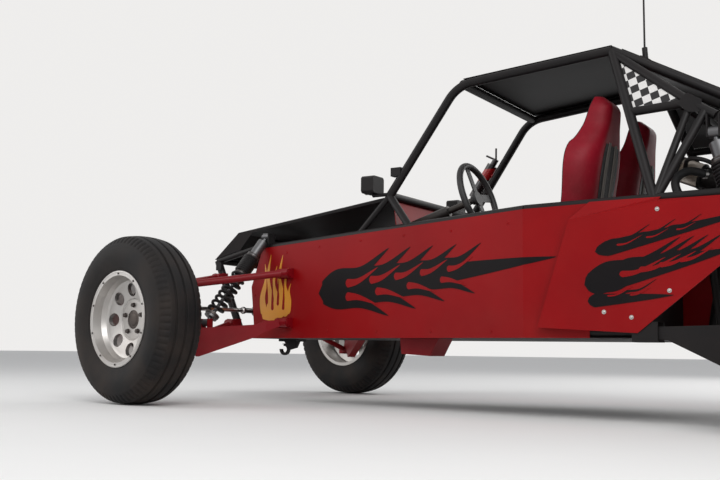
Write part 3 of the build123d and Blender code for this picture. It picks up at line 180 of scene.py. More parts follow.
def piece(name, shells, finish, body="chassis", sharp=38):
    """One object from several shells, doubles merged, faces turned outwards, on a body. Edges that
    bend by more than sharp degrees stay sharp."""
    start, points, faces = 0, [], []
    for shell_points, shell_faces in shells:
        points.append(shell_points)
        faces += [[index + start for index in face] for face in shell_faces]
        start += len(shell_points)
    mesh = bpy.data.meshes.new(name)
    mesh.from_pydata(np.concatenate(points).tolist(), [], faces)
    made = bmesh.new()
    made.from_mesh(mesh)
    bmesh.ops.remove_doubles(made, verts=made.verts, dist=MERGE_DISTANCE)
    bmesh.ops.recalc_face_normals(made, faces=made.faces)
    made.to_mesh(mesh)
    made.free()
    mesh.shade_smooth()
    mesh.set_sharp_from_angle(angle=radians(sharp))
    mesh.materials.append(finish)
    item = bpy.data.objects.new(name, mesh)
    bpy.context.scene.collection.objects.link(item)
    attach(item, body)
    return item


def hexagon(place, axis, across_flats, height):
    """A bolt head or nut with its top edge broken: a six-sided turned section."""
    reach = across_flats / 2 / cos(pi / 6)
    section = [(0, reach), (height * 0.85, reach), (height, reach * 0.86)]
    return turned(section, place, axis, steps=6, closed=False)


def dome(place, axis, radius, height):
    """A button head: the quarter ellipse (height sin a, radius cos a) turned round its axis. It stops
    short of the pole, where a small face closes it."""
    angle = np.linspace(0, pi / 2 * 0.96, 5)
    section = np.stack([height * np.sin(angle), radius * np.cos(angle)], axis=-1)
    return turned(np.vstack([[(-1, radius)], section]), place, axis, steps=16, closed=False)


# Materials

# sockets of a Mix node that is set to colour
MIX_SHARE, MIX_FIRST, MIX_SECOND, MIX_RESULT = 0, 6, 7, 2


def set_inputs(shader_node, values):
    """Set the named sockets of a node."""
    for key, value in values.items():
        shader_node.inputs[key].default_value = value
    return shader_node


def add(tree, kind, values=None, **settings):
    """A new node with its settings and the values of its sockets."""
    made = tree.nodes.new(kind)
    for key, value in settings.items():
        setattr(made, key, value)
    return set_inputs(made, values or {})


def new_group(name, inputs, outputs):
    """A shader node group with named sockets; inputs are (name, kind, value), outputs (name, kind)."""
    group = bpy.data.node_groups.new(name, "ShaderNodeTree")
    for socket_name, kind, value in inputs:
        socket = group.interface.new_socket(name=socket_name, in_out="INPUT",
                                            socket_type=f"NodeSocket{kind}")
        socket.default_value = value
    for socket_name, kind in outputs:
        group.interface.new_socket(name=socket_name, in_out="OUTPUT", socket_type=f"NodeSocket{kind}")
    return group, add(group, "NodeGroupInput"), add(group, "NodeGroupOutput")


def coordinates(tree, kind="Object"):
    """The place of a point on its object, or the kind of coordinate that is asked for."""
    return add(tree, "ShaderNodeTexCoord").outputs[kind]


def part_of(tree, vector, axis):
    """The X, Y or Z of a vector."""
    parts = add(tree, "ShaderNodeSeparateXYZ")
    tree.links.new(vector, parts.inputs[0])
    return parts.outputs[axis]


def noise(tree, place, scale, detail=4.0, scale_from=None):
    """Noise between 0 and 1; its scale is a number or comes from a socket."""
    made = add(tree, "ShaderNodeTexNoise", {"Scale": scale, "Detail": detail})
    tree.links.new(place, made.inputs["Vector"])
    if scale_from is not None:
        tree.links.new(scale_from, made.inputs["Scale"])
    return made.outputs["Fac"]


def maths(tree, operation, first, second, clamp=False):
    """Two values, numbers or sockets, put through one operation."""
    made = add(tree, "ShaderNodeMath", operation=operation, use_clamp=clamp)
    for socket, value in zip(made.inputs, (first, second)):
        if isinstance(value, (int, float)):
            socket.default_value = value
        else:
            tree.links.new(value, socket)
    return made.outputs[0]


def blend(tree, share, first, second):
    """The colour at share of the way from first to second; each may be a socket."""
    made = add(tree, "ShaderNodeMix", data_type="RGBA")
    for index, value in ((MIX_SHARE, share), (MIX_FIRST, first), (MIX_SECOND, second)):
        if hasattr(value, "is_output"):
            tree.links.new(value, made.inputs[index])
        else:
            made.inputs[index].default_value = value
    return made.outputs[MIX_RESULT]


def spread(tree, value, low, high, to_low=0, to_high=1):
    """A value's range from low to high laid out from to_low to to_high, and held there beyond it."""
    made = add(tree, "ShaderNodeMapRange", {1: low, 2: high, 3: to_low, 4: to_high}, clamp=True)
    tree.links.new(value, made.inputs[0])
    return made.outputs[0]


PATCH_RANGE = (0.42, 0.68)
PATCH_ROUGHNESS = 0.08
DUST_COLOUR = (0.3, 0.2, 0.14, 1)
DUST_HEIGHTS = (0.05, 0.75)
DUST_SHARES = (1.0, 0.25)
DUST_RANGE = (0.38, 0.8)
DUST_ROUGHNESS = 0.45


def make_surface_group():
    """Colour that varies softly, dust that gathers low down and in patches, and a fine ripple."""
    group, source, sink = new_group("weathered surface", [
        ("Color", "Color", (0.5, 0.5, 0.5, 1)), ("Patch Color", "Color", (0.3, 0.3, 0.3, 1)),
        ("Patch Scale", "Float", 6.0), ("Patch Amount", "Float", 0.3), ("Roughness", "Float", 0.4),
        ("Dust", "Float", 0.3), ("Grain Scale", "Float", 300.0)],
        [("Color", "Color"), ("Roughness", "Float"), ("Height", "Float")])
    place = coordinates(group)
    patches = noise(group, place, 6.0, 6.0, source.outputs["Patch Scale"])
    share = maths(group, "MULTIPLY", spread(group, patches, *PATCH_RANGE), source.outputs["Patch Amount"])
    colour = blend(group, share, source.outputs["Color"], source.outputs["Patch Color"])
    low_down = spread(group, part_of(group, place, "Z"), *DUST_HEIGHTS, *DUST_SHARES)
    speckle = spread(group, noise(group, place, 7.0, 9.0), *DUST_RANGE)
    gathered = maths(group, "MULTIPLY", low_down, speckle)
    dust = maths(group, "MULTIPLY", gathered, source.outputs["Dust"], True)
    colour = blend(group, dust, colour, DUST_COLOUR)
    fine = noise(group, place, 300.0, 3.0, source.outputs["Grain Scale"])
    rough = maths(group, "ADD", source.outputs["Roughness"],
                  maths(group, "MULTIPLY", dust, DUST_ROUGHNESS))
    rough = maths(group, "ADD", rough, maths(group, "MULTIPLY", patches, PATCH_ROUGHNESS), True)
    group.links.new(colour, sink.inputs["Color"])
    group.links.new(rough, sink.inputs["Roughness"])
    group.links.new(fine, sink.inputs["Height"])
    return group


SHADE_RANGE = (0.35, 0.7)
WORN_COLOUR = (0.55, 0.22, 0.2, 1)
WORN_RANGE = (0.5, 0.72)
LEATHER_ROUGHNESS = (0.42, 0.6)
CELL_HEIGHT = 0.7
CREASE_HEIGHT = 0.6


def make_leather_group():
    """Grained upholstery: closed cells with soft creases between them, and worn, paler high spots."""
    group, source, sink = new_group("grained upholstery", [
        ("Color", "Color", (0.3, 0.02, 0.04, 1)), ("Shade Color", "Color", (0.1, 0.0, 0.01, 1)),
        ("Grain Scale", "Float", 420.0), ("Wear", "Float", 0.3)],
        [("Color", "Color"), ("Roughness", "Float"), ("Height", "Float")])
    place = coordinates(group)
    cells = add(group, "ShaderNodeTexVoronoi", {"Scale": 420.0})
    group.links.new(place, cells.inputs["Vector"])
    group.links.new(source.outputs["Grain Scale"], cells.inputs["Scale"])
    soft = noise(group, place, 5.0, 5.0)
    crease = noise(group, place, 55.0, 6.0)
    shade = spread(group, soft, *SHADE_RANGE)
    colour = blend(group, shade, source.outputs["Color"], source.outputs["Shade Color"])
    worn = maths(group, "MULTIPLY", spread(group, crease, *WORN_RANGE), source.outputs["Wear"])
    colour = blend(group, worn, colour, WORN_COLOUR)
    high = maths(group, "ADD", maths(group, "MULTIPLY", cells.outputs["Distance"], CELL_HEIGHT),
                 maths(group, "MULTIPLY", crease, CREASE_HEIGHT))
    group.links.new(colour, sink.inputs["Color"])
    group.links.new(spread(group, soft, 0.3, 0.7, *LEATHER_ROUGHNESS), sink.inputs["Roughness"])
    group.links.new(high, sink.inputs["Height"])
    return group


surface_group = make_surface_group()
leather_group = make_leather_group()


def start_material(name, values):
    """A new material, its node tree and its shader, with values on the shader's own sockets."""
    made = bpy.data.materials.new(name)
    made.use_nodes = True
    shader = made.node_tree.nodes["Principled BSDF"]
    set_inputs(shader, values)
    return made, made.node_tree, shader


def finish_from(group, values, tree, shader, bump, bump_depth):
    """Place a group with its own values in a material, link it to the shader, and make bump from its
    height; bump_depth is in metres."""
    placed = set_inputs(add(tree, "ShaderNodeGroup", node_tree=group), values)
    tree.links.new(placed.outputs["Color"], shader.inputs["Base Color"])
    tree.links.new(placed.outputs["Roughness"], shader.inputs["Roughness"])
    relief = add(tree, "ShaderNodeBump", {"Strength": bump, "Distance": bump_depth})
    tree.links.new(placed.outputs["Height"], relief.inputs["Height"])
    tree.links.new(relief.outputs["Normal"], shader.inputs["Normal"])


def weathered(name, colour, patch, rough, metallic=0.0, coat=0.0, dust=0.3, patch_scale=6.0,
              patch_amount=0.4, grain=300.0, bump=0.1, bump_depth=0.0005, specular=0.4):
    """A finish from the weathered surface group."""
    made, tree, shader = start_material(name, {
        "Metallic": metallic, "Coat Weight": coat, "Coat Roughness": 0.12, "Specular IOR Level": specular})
    finish_from(surface_group, {
        "Color": (*colour, 1), "Patch Color": (*patch, 1), "Patch Scale": patch_scale,
        "Patch Amount": patch_amount, "Roughness": rough, "Dust": dust, "Grain Scale": grain},
        tree, shader, bump, bump_depth)
    return made


def upholstery(name, colour, shade, grain, wear):
    """A finish from the grained upholstery group."""
    made, tree, shader = start_material(name, {
        "Sheen Weight": 0.04, "Sheen Roughness": 0.4, "Specular IOR Level": 0.22})
    finish_from(leather_group, {
        "Color": (*colour, 1), "Shade Color": (*shade, 1), "Grain Scale": grain, "Wear": wear},
        tree, shader, 0.35, 0.0012)
    return made


red_paint = weathered("red panel paint", (0.27, 0.0012, 0.003), (0.18, 0.0008, 0.002), 0.4, dust=0.04,
                      patch_scale=2.2, patch_amount=0.5, specular=0.16)
arm_paint = weathered("red arm paint", (0.21, 0.001, 0.006), (0.13, 0.001, 0.003), 0.4, coat=0.05,
                      dust=0.08, specular=0.2)
frame_paint = weathered("black frame paint", (0.008, 0.007, 0.0075), (0.014, 0.011, 0.011), 0.42,
                        dust=0.03, specular=0.2)
panel_black = weathered("black sheet", (0.007, 0.0055, 0.006), (0.014, 0.009, 0.009), 0.5, dust=0.03,
                        specular=0.12)
machined = weathered("machined aluminium", (0.5, 0.485, 0.47), (0.36, 0.34, 0.32), 0.34, metallic=0.92,
                     dust=0.2, grain=700.0, bump=0.15)
damper_alloy = weathered("anodised damper body", (0.13, 0.13, 0.135), (0.09, 0.09, 0.095), 0.38,
                         metallic=0.85, dust=0.1)
webbing = weathered("belt webbing", (0.16, 0.145, 0.13), (0.1, 0.09, 0.08), 0.75, dust=0.1,
                    grain=1400.0, bump=0.5, specular=0.2)
lens_glass = weathered("lamp lens", (0.5, 0.5, 0.5), (0.4, 0.4, 0.42), 0.12, coat=0.8, dust=0.05)
cast_alloy = weathered("cast alloy", (0.34, 0.33, 0.32), (0.2, 0.19, 0.18), 0.5, metallic=0.8, dust=0.3,
                       grain=420.0, bump=0.5, bump_depth=0.001)
engine_dark = weathered("oily engine metal", (0.045, 0.043, 0.042), (0.015, 0.014, 0.013), 0.42,
                        metallic=0.6, dust=0.3, patch_scale=14.0, grain=380.0, bump=0.5, bump_depth=0.001)
bright_steel = weathered("plated steel", (0.56, 0.55, 0.54), (0.38, 0.35, 0.33), 0.26, metallic=1.0,
                         dust=0.2)
dark_steel = weathered("blackened steel", (0.06, 0.055, 0.055), (0.1, 0.08, 0.07), 0.38, metallic=0.7,
                       dust=0.25)
hot_steel = weathered("heat stained steel", (0.42, 0.38, 0.34), (0.2, 0.13, 0.09), 0.34, metallic=1.0,
                      patch_scale=9.0, patch_amount=0.7, dust=0.2)
tyre_rubber = weathered("tyre rubber", (0.008, 0.0075, 0.008), (0.014, 0.012, 0.012), 0.62, dust=0.1,
                        patch_scale=5.0, grain=900.0, bump=0.2, specular=0.22)
soft_rubber = weathered("soft rubber", (0.016, 0.016, 0.017), (0.028, 0.026, 0.026), 0.5, dust=0.15,
                        grain=800.0, bump=0.4)
crimson = upholstery("crimson upholstery", (0.25, 0.002, 0.013), (0.15, 0.001, 0.006), 520.0, 0.02)
black_cloth = upholstery("black seat cloth", (0.009, 0.008, 0.0085), (0.005, 0.004, 0.005), 900.0, 0.01)
black_decal = weathered("black flame paint", (0.005, 0.004, 0.005), (0.008, 0.006, 0.006), 0.42,
                        dust=0.02, specular=0.12)
yellow_decal = weathered("yellow flame paint", (0.72, 0.3, 0.025), (0.58, 0.2, 0.015), 0.34, coat=0.3,
                         dust=0.08)


def recoloured(made, share, other):
    """Give a weathered finish another colour where share is 0; where it is 1 it keeps its own."""
    tree = made.node_tree
    group = next(node for node in tree.nodes if node.type == "GROUP")
    for key in ("Color", "Patch Color"):
        own = tuple(group.inputs[key].default_value)
        tree.links.new(blend(tree, share, (*other, 1), own), group.inputs[key])
    return made


def painted_shade_facing_away(made, direction, threshold, other):
    """Give a weathered finish another colour where the object's normal n has n . direction < threshold:
    painted shade on faces that turn away from the light.
    """
    tree, edge = made.node_tree, 0.05
    along = add(tree, "ShaderNodeVectorMath", {1: direction}, operation="DOT_PRODUCT")
    tree.links.new(coordinates(tree, "Normal"), along.inputs[0])
    share = spread(tree, along.outputs["Value"], threshold - edge, threshold + edge)
    return recoloured(made, share, other)


def banded(made, low, high, other):
    """Give a weathered finish another colour outside a band of heights, low < z < high."""
    tree = made.node_tree
    height = part_of(tree, coordinates(tree), "Z")
    above = maths(tree, "GREATER_THAN", height, low)
    share = maths(tree, "MULTIPLY", above, maths(tree, "LESS_THAN", height, high))
    return recoloured(made, share, other)


CHECK_WHITE = (0.72, 0.7, 0.68, 1)
CHECK_BLACK = (0.012, 0.011, 0.012, 1)


def checkered(name, tilt, square):
    """White and dark squares on the faces that point away from the middle, y n_y > 0; the rest dark.
    The place's y is dropped, so that the squares don't change with the panel's lean."""
    made, tree, shader = start_material(name, {
        "Roughness": 0.34, "Coat Weight": 0.2, "Specular IOR Level": 0.35})
    place = coordinates(tree)
    turn = add(tree, "ShaderNodeMapping", {
        "Rotation": (0, tilt, 0), "Scale": (1, 0, 1), "Location": (0, 0.01, 0)})
    checks = add(tree, "ShaderNodeTexChecker", {
        "Color1": CHECK_WHITE, "Color2": CHECK_BLACK, "Scale": 1 / square})
    tree.links.new(place, turn.inputs["Vector"])
    tree.links.new(turn.outputs["Vector"], checks.inputs["Vector"])
    outward = maths(tree, "MULTIPLY", part_of(tree, coordinates(tree, "Normal"), "Y"),
                    part_of(tree, place, "Y"))
    share = maths(tree, "GREATER_THAN", outward, 0.01)
    tree.links.new(blend(tree, share, CHECK_BLACK, checks.outputs["Color"]), shader.inputs["Base Color"])
    return made


# Faces of the roof panel that point down turn near black: painted shade on its underside.
roof_paint_with_painted_shade_below = painted_shade_facing_away(weathered("roof panel paint with painted shade below", (0.27, 0.0012, 0.003), (0.18, 0.0008, 0.002), 0.42,
                              dust=0.04, patch_scale=2.2, specular=0.1),
                    (0, 0, 1), 0.5, (0.005, 0.004, 0.004))
# Faces of the rear deck that point down turn near black: painted shade on its underside.
deck_paint_with_painted_shade_below = painted_shade_facing_away(weathered("rear deck paint with painted shade below", (0.1, 0.003, 0.004), (0.06, 0.002, 0.003), 0.42,
                              coat=0.1, dust=0.15, patch_scale=2.2, specular=0.3),
                    (0, 0, 1), 0.5, (0.01, 0.008, 0.009))
bottle_paint = banded(weathered("red bottle paint", (0.4, 0.006, 0.008), (0.26, 0.005, 0.007), 0.28,
                                coat=0.4, dust=0.04), 1.118, 1.172, (0.012, 0.007, 0.008))
check_paint = checkered("checkered panel paint", radians(-18.5), 0.032)


def dress(finish, *names):
    """Give CAD nodes a finish."""
    for name in names:
        materials = nodes[name].data.materials
        materials.clear()
        materials.append(finish)


dress(frame_paint, "lower_frame", "roll_cage", "cage_rails", "frame_brackets", "trailing_arms",
      "coil_springs", "antenna", "lamps")
dress(red_paint, "side_panels", "rear_panels", "dash_panel")
dress(arm_paint, "front_upper_arms", "front_lower_arms", "arm_brackets", "foot_box")
dress(panel_black, "hood_panel", "floor_pan", "firewall", "seat_mounts")
dress(roof_paint_with_painted_shade_below, "roof_panel")
dress(deck_paint_with_painted_shade_below, "rear_deck")
dress(check_paint, "checker_panels")
dress(engine_dark, "engine", "steering_column", "pedals", "shifter")
dress(cast_alloy, "transaxle", "steering_rack", "knuckle_left", "knuckle_right")
dress(hot_steel, "exhaust")
dress(damper_alloy, "dampers")
dress(bottle_paint, "fire_extinguisher")
dress(bright_steel, "tie_rods")
dress(soft_rubber, "steering_wheel")
for side_name, _ in SIDES:
    dress(machined, f"front_rim_{side_name}", f"rear_rim_{side_name}")
    dress(dark_steel, f"front_hub_{side_name}", f"rear_hub_{side_name}", f"half_shaft_{side_name}")
    dress(tyre_rubber, f"front_tyre_{side_name}", f"rear_tyre_{side_name}")


# Camera, floor and light

CAMERA_PLACE = np.array([-1.7401, 4.0954, 0.2483])
CAMERA_YAW = radians(32.98)
CAMERA_PITCH = radians(6.448)
CAMERA_ROLL = radians(0.683)
CAMERA_LENS = 49.285
SENSOR_WIDTH = 36.0
FLOOR_REACH = 60.0
WORLD_LIGHT = (0.42, 0.43, 0.45, 1)
WORLD_SEEN = (0.86, 0.85, 0.84, 1)
LAMPS_AIM = (0.2, 0, 0.7)
# name, place, size and power in watts
LAMPS = (("key", (-3.2, 5.0, 4.6), 4.0, 250.0), ("fill", (5.5, 3.5, 3.2), 4.0, 90.0),
         ("back", (-1.5, -5.5, 4.2), 4.5, 130.0))


def place_camera():
    """Camera behind the left side, low down, looking forward and slightly up."""
    ahead = np.array([sin(CAMERA_YAW) * cos(CAMERA_PITCH), -cos(CAMERA_YAW) * cos(CAMERA_PITCH),
                      sin(CAMERA_PITCH)])
    right = unit(np.cross(ahead, UP))
    above = np.cross(right, ahead)
    turned_right = right * cos(CAMERA_ROLL) + above * sin(CAMERA_ROLL)
    turned_above = above * cos(CAMERA_ROLL) - right * sin(CAMERA_ROLL)
    data = bpy.data.cameras.new("camera")
    data.lens = CAMERA_LENS
    data.sensor_width = SENSOR_WIDTH
    data.clip_start = 0.05
    camera = bpy.data.objects.new("camera", data)
    matrix = Matrix.Identity(4)
    for column, vector in enumerate((turned_right, turned_above, -ahead, CAMERA_PLACE)):
        for row in range(3):
            matrix[row][column] = vector[row]
    camera.matrix_world = matrix
    bpy.context.scene.collection.objects.link(camera)
    bpy.context.scene.camera = camera


def make_floor():
    """Large plain pale floor."""
    corners = np.array([[-1, -1, 0], [1, -1, 0], [1, 1, 0], [-1, 1, 0]]) * FLOOR_REACH
    mesh = bpy.data.meshes.new("floor")
    mesh.from_pydata(corners.tolist(), [], [[0, 1, 2, 3]])
    made, tree, shader = start_material("pale floor", {"Roughness": 0.9})
    tone = blend(tree, noise(tree, coordinates(tree), 2.0), (0.88, 0.87, 0.85, 1), (0.91, 0.9, 0.88, 1))
    tree.links.new(tone, shader.inputs["Base Color"])
    mesh.materials.append(made)
    floor = bpy.data.objects.new("floor", mesh)
    bpy.context.scene.collection.objects.link(floor)


def make_light():
    """Soft studio: an even world that the camera and reflections see as pale grey, a broad key, a fill
    and a back lamp."""
    world = bpy.data.worlds.new("studio")
    bpy.context.scene.world = world
    world.use_nodes = True
    tree = world.node_tree
    background = tree.nodes["Background"]
    rays = add(tree, "ShaderNodeLightPath")
    seen = maths(tree, "ADD", rays.outputs["Is Camera Ray"], rays.outputs["Is Transmission Ray"], True)
    seen = maths(tree, "ADD", seen, rays.outputs["Is Glossy Ray"], True)
    tree.links.new(blend(tree, seen, WORLD_LIGHT, WORLD_SEEN), background.inputs["Color"])
    background.inputs["Strength"].default_value = 1.0
    for name, place, size, power in LAMPS:
        data = bpy.data.lights.new(name, "AREA")
        data.size = size
        data.energy = power
        lamp = bpy.data.objects.new(name, data)
        lamp.location = place
        lamp.rotation_euler = (Vector(LAMPS_AIM) - Vector(place)).to_track_quat("-Z", "Y").to_euler()
        bpy.context.scene.collection.objects.link(lamp)
    bpy.context.scene.view_settings.view_transform = "Standard"


place_camera()
make_floor()
make_light()


# Wheels

def wheel(side_name, end):
    """Centre, outward axis and body of a wheel."""
    joint = joints[f"{end}_{side_name}_spin"]
    outward = np.array(joint["axis"]) * (1 if side_name == "left" else -1)
    return np.array(joint["pos_m"]), unit(outward), joint["child"]


def wheel_surface(offset, radius, angle, centre, axis):
    """A surface round a wheel from its offset and radius at each (section point, angle):
    centre + offset axis + radius (cos a, sin a)."""
    axis, first, second = axes_across(axis)
    spoke = np.cos(angle)[:, None] * first + np.sin(angle)[:, None] * second
    offset, radius = (np.broadcast_to(value, (len(offset), len(angle)))[..., None] * MM
                      for value in (offset, radius))
    return sheet(np.asarray(centre) + offset * axis + radius * spoke[None], close_rows=True,
                 close_columns=True)


def closed_section(half):
    """A whole tyre section from its half, bead to crown: the other half mirrored, joined inside the rim."""
    return np.vstack([half, half[::-1][1:] * [-1, 1]])


def sidewall_rings(radius, rings):
    """How far the rings on a sidewall stand out: the sum of their pulses at each radius."""
    return sum(height * pulse(radius, middle, half, 0.8) for middle, half, height in rings)


FRONT_TYRE_HALF = [(86, 203.6), (94, 204.4), (97, 210), (100, 221), (106, 235), (114, 262), (117.5, 290),
                   (115, 318), (107, 341), (96, 357), (84, 367), (74, 372.4)]
FRONT_CROWN, CROWN_RADIUS, CROWN_DROP = 74, 379.8, 7.4
RIB_GROOVES = (-48.0, 0.0, 48.0)
GROOVE_POINTS = (-8, -6.2, -5.8, -4, 4, 5.8, 6.2, 8)
GROOVE_DEPTH, GROOVE_HALF, GROOVE_EDGE, GROOVED_ABOVE = 9, 6, 0.8, 370
# radius, half width and height of each ring
FRONT_RINGS = ((229, 1.6, 1.4), (236, 1.2, 0.8), (300, 1.4, 0.9), (305.5, 0.9, 0.7), (331, 1.2, 0.9),
               (336, 1.2, 0.9), (341, 1.2, 0.9))
FRONT_RINGED = 84
SIPES = 76
SIPE_SHAPE = (0.0, 1.0, 1.0, 0.0, 0.0, 0.0)
SIPE_MIDDLE, SIPE_HALF, SIPE_EDGE, SIPED_ABOVE = 92, 15, 4, 330
SIPE_DEPTH, SIPE_INSET = 3.6, 1.6


def front_tyre(side_name):
    """Ribbed tyre. The section is a smooth line with grooves cut between four ribs and rings raised
    on the sidewall; the shoulder's radius drops in short bars, SIPES of them in a turn."""
    crown = np.unique(np.concatenate([np.linspace(0, FRONT_CROWN, 18)]
                                     + [np.array(GROOVE_POINTS) + groove for groove in RIB_GROOVES]))
    crown = crown[(crown >= 0) & (crown < FRONT_CROWN - 1)][::-1]
    top = CROWN_RADIUS - CROWN_DROP * (crown / FRONT_CROWN) ** 2
    section = closed_section(np.vstack([curve(FRONT_TYRE_HALF, 52), np.stack([crown, top], axis=-1)]))
    offset, radius = section[:, :1], section[:, 1:]
    outward = np.sign(offset)
    shoulder = pulse(np.abs(offset), SIPE_MIDDLE, SIPE_HALF, SIPE_EDGE) * (radius > SIPED_ABOVE)
    for groove in RIB_GROOVES:
        cut = GROOVE_DEPTH * pulse(offset, groove, GROOVE_HALF, GROOVE_EDGE)
        radius = radius - cut * (radius > GROOVED_ABOVE)
    offset = offset + outward * sidewall_rings(radius, FRONT_RINGS) * (np.abs(offset) > FRONT_RINGED)
    steps = SIPES * len(SIPE_SHAPE)
    sipe = shoulder * np.tile(SIPE_SHAPE, SIPES)[None]
    centre, axis, body = wheel(side_name, "front")
    item = piece(f"ribbed_tyre_{side_name}", [wheel_surface(
        offset - outward * sipe * SIPE_INSET, radius - SIPE_DEPTH * sipe, np.arange(steps) * tau / steps,
        centre, axis)], tyre_rubber, body, sharp=50)
    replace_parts(item, f"front_tyre_{side_name}")


REAR_TYRE_HALF = [(140, 203.6), (150, 204.4), (153, 212), (157, 226), (166, 244), (177, 275), (180, 305),
                  (177, 338), (171, 364), (160, 385), (146, 398), (128, 405), (100, 409), (66, 411),
                  (32, 412), (0, 412)]
REAR_RINGS = ((232, 1.6, 1.6), (300, 1.6, 1.0), (307, 1.2, 0.8), (350, 1.4, 1.0))
REAR_RINGED = 120
PADDLES = 14
PADDLE_TOP, PADDLE_CROWN = 431.6, 0.0006
PADDLE_SHOULDER = (118, 166)
PADDLE_FOOT = 0.0365
# angle from a paddle's middle, and the share of its height that it has there
PADDLE_SHAPE = ((-PADDLE_FOOT, 0.0), (-0.031, 0.06), (-0.0205, 0.9), (-0.0165, 0.985), (-0.0125, 1.0),
                (0.0125, 1.0), (0.0165, 0.985), (0.0205, 0.9), (0.031, 0.06), (PADDLE_FOOT, 0.0))


def rear_tyre(side_name):
    """Paddle tyre. On a smooth carcass the radius rises by the paddle's height in PADDLES narrow
    bands, each of which runs out towards the shoulders."""
    section = closed_section(curve(REAR_TYRE_HALF, 64))
    offset, radius = section[:, :1], section[:, 1:]
    step = tau / PADDLES
    between = np.linspace(PADDLE_FOOT, step - PADDLE_FOOT, 8)[1:-1]
    local, rise = np.transpose(PADDLE_SHAPE + tuple((turn, 0.0) for turn in between))
    angle = (np.arange(PADDLES)[:, None] * step + local[None]).ravel()
    reach = 1 - ramp(np.abs(offset), *PADDLE_SHOULDER)
    height = np.where(reach > 0, (PADDLE_TOP - PADDLE_CROWN * offset ** 2 - radius) * reach, 0)
    lifted = radius + np.tile(rise, PADDLES)[None] * height
    rings = sidewall_rings(radius, REAR_RINGS) * (np.abs(offset) > REAR_RINGED)
    centre, axis, body = wheel(side_name, "rear")
    item = piece(f"paddle_tyre_{side_name}", [wheel_surface(
        offset + np.sign(offset) * rings, lifted, angle, centre, axis)], tyre_rubber, body, sharp=42)
    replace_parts(item, f"rear_tyre_{side_name}")


LIP_SCREWS = 10
WHEEL_NUTS = 5
NUT_CIRCLE = 65
NUT_WASHER = ((0, 11.5), (1.6, 11.5), (2, 10.8))
HUB_CAP = ((-2.1, 41), (-1.4, 40), (-1.4, 30), (2, 27), (3.4, 22), (3.6, 0.5))
LIP_BEAD = ((-1.0, -8.0), (0.6, -7.4), (1.2, -5.5), (0.6, -3.0), (-1.0, -2.4))
PAD_BEAD = ((-1, 83), (1, 84), (1, 88), (-1, 89))
VALVE_ANGLE = 0.35
VALVE_RADII = (4.2, 4.2, 3.4, 3.4)


def moved(section, offset, radius=0):
    """An (offset, radius) section with both shifted."""
    return [(out + offset, up + radius) for out, up in section]


def wheel_fasteners(side_name, end, lip_offset, lip_top, pad_offset):
    """Small screws round the lip ring, wheel nuts with washers on the studs, the cap, the valve, and
    the raised rings of the lip and the hub pad."""
    centre, axis, body = wheel(side_name, end)
    along, first, second = axes_across(axis)

    def spoke(angle):
        """A unit vector from the wheel's middle."""
        return cos(angle) * first + sin(angle) * second

    def spot(offset, radius, angle):
        """A place on the wheel."""
        return centre + (offset * along + radius * spoke(angle)) * MM

    screws = [hexagon(spot(lip_offset, lip_top - 13, pi / 2 + index * tau / LIP_SCREWS), along, 8.4, 3.2)
              for index in range(LIP_SCREWS)]
    piece(f"lip_screws_{end}_{side_name}", screws, dark_steel, body, sharp=25)
    nuts = []
    for index in range(WHEEL_NUTS):
        place = spot(pad_offset, NUT_CIRCLE, pi / 2 + index * tau / WHEEL_NUTS)
        nuts.append(turned(NUT_WASHER, place, along, 24, closed=False))
        nuts.append(hexagon(place, along, 18, 10))
    piece(f"wheel_nuts_{end}_{side_name}", nuts, dark_steel, body, sharp=25)
    cap = turned(moved(HUB_CAP, pad_offset), centre, along, 48, closed=False)
    piece(f"hub_cap_{end}_{side_name}", [cap], dark_steel, body)
    start = spot(lip_offset - 26, 197, VALVE_ANGLE)
    tip = start + (along * 20 - spoke(VALVE_ANGLE) * 9) * MM
    stem = tube(np.linspace(start, tip, len(VALVE_RADII)), VALVE_RADII)
    piece(f"valve_{end}_{side_name}", [stem], soft_rubber, body)
    lip = turned(moved(LIP_BEAD, lip_offset, lip_top), centre, along, 96)
    pad_ring = turned(moved(PAD_BEAD, pad_offset), centre, along, 72)
    piece(f"rim_beads_{end}_{side_name}", [lip, pad_ring], machined, body)


for side_name, _ in SIDES:
    front_tyre(side_name)
    rear_tyre(side_name)
    wheel_fasteners(side_name, "front", 102, 216, 14)
    wheel_fasteners(side_name, "rear", 158, 222, -40)


# Springs and dampers

# lower eye, upper eye, body radius, share of the length at the collar, turns, wire's share of the radius
COIL_OVERS = (((150, 590, 374), (268, 300, 803), 25, 0.74, 7.5, 0.36),
              ((2630, 500, 384), (2446, 470, 1050), 31, 0.831, 10.5, 0.32))
SPRING_FOOT, SPRING_REACH = 0.125, 1.36
TURN_POINTS = 22
# shares of the length: the tight spring with its slider, the slider, and the gap below the collar
TIGHT_LENGTH, SLIDER_LENGTH, COLLAR_GAP = 0.2, 0.036, 0.005
TIGHT_TURNS, TIGHT_REACH, TIGHT_WIRE = 8.5, 0.98, 0.86
# sections of the rings: offset, and radius as a share of the body's
SLIDER_RING = ((0, 1.04), (0, 1.38), (6, 1.38), (7, 1.12), (16, 1.12), (17, 1.38), (22, 1.38), (22, 1.04))
COLLAR_RING = ((0, 1.03), (0, 1.36), (8, 1.36), (9, 1.22), (13, 1.22), (14, 1.3), (19, 1.3), (19, 1.03))
FOOT_RING = ((0, 0.5), (0, 1.1), (3, 1.42), (14, 1.42), (16, 1.2), (16, 0.5))


def coil(start, end, radius, turns, wire):
    """A wire carried along a helix: start + s' axis + R (cos a, sin a), where s' = s + k sin(2 pi s)
    makes the pitch a little wider at the ends."""
    axis, first, second = axes_across(end - start)
    share = np.linspace(0, 1, int(turns * TURN_POINTS))[:, None]
    eased = share + 0.55 / turns / tau * np.sin(tau * share)
    angle = share * turns * tau
    path = start + (end - start) * eased + radius * MM * (np.cos(angle) * first + np.sin(angle) * second)
    return tube(path, wire, 8, guide=axis)


def damper_ring(section, body, place, axis):
    """A ring round a damper, turned from a section whose radii are shares of the body's."""
    return turned([(offset, body * share) for offset, share in section], place, axis, 40)


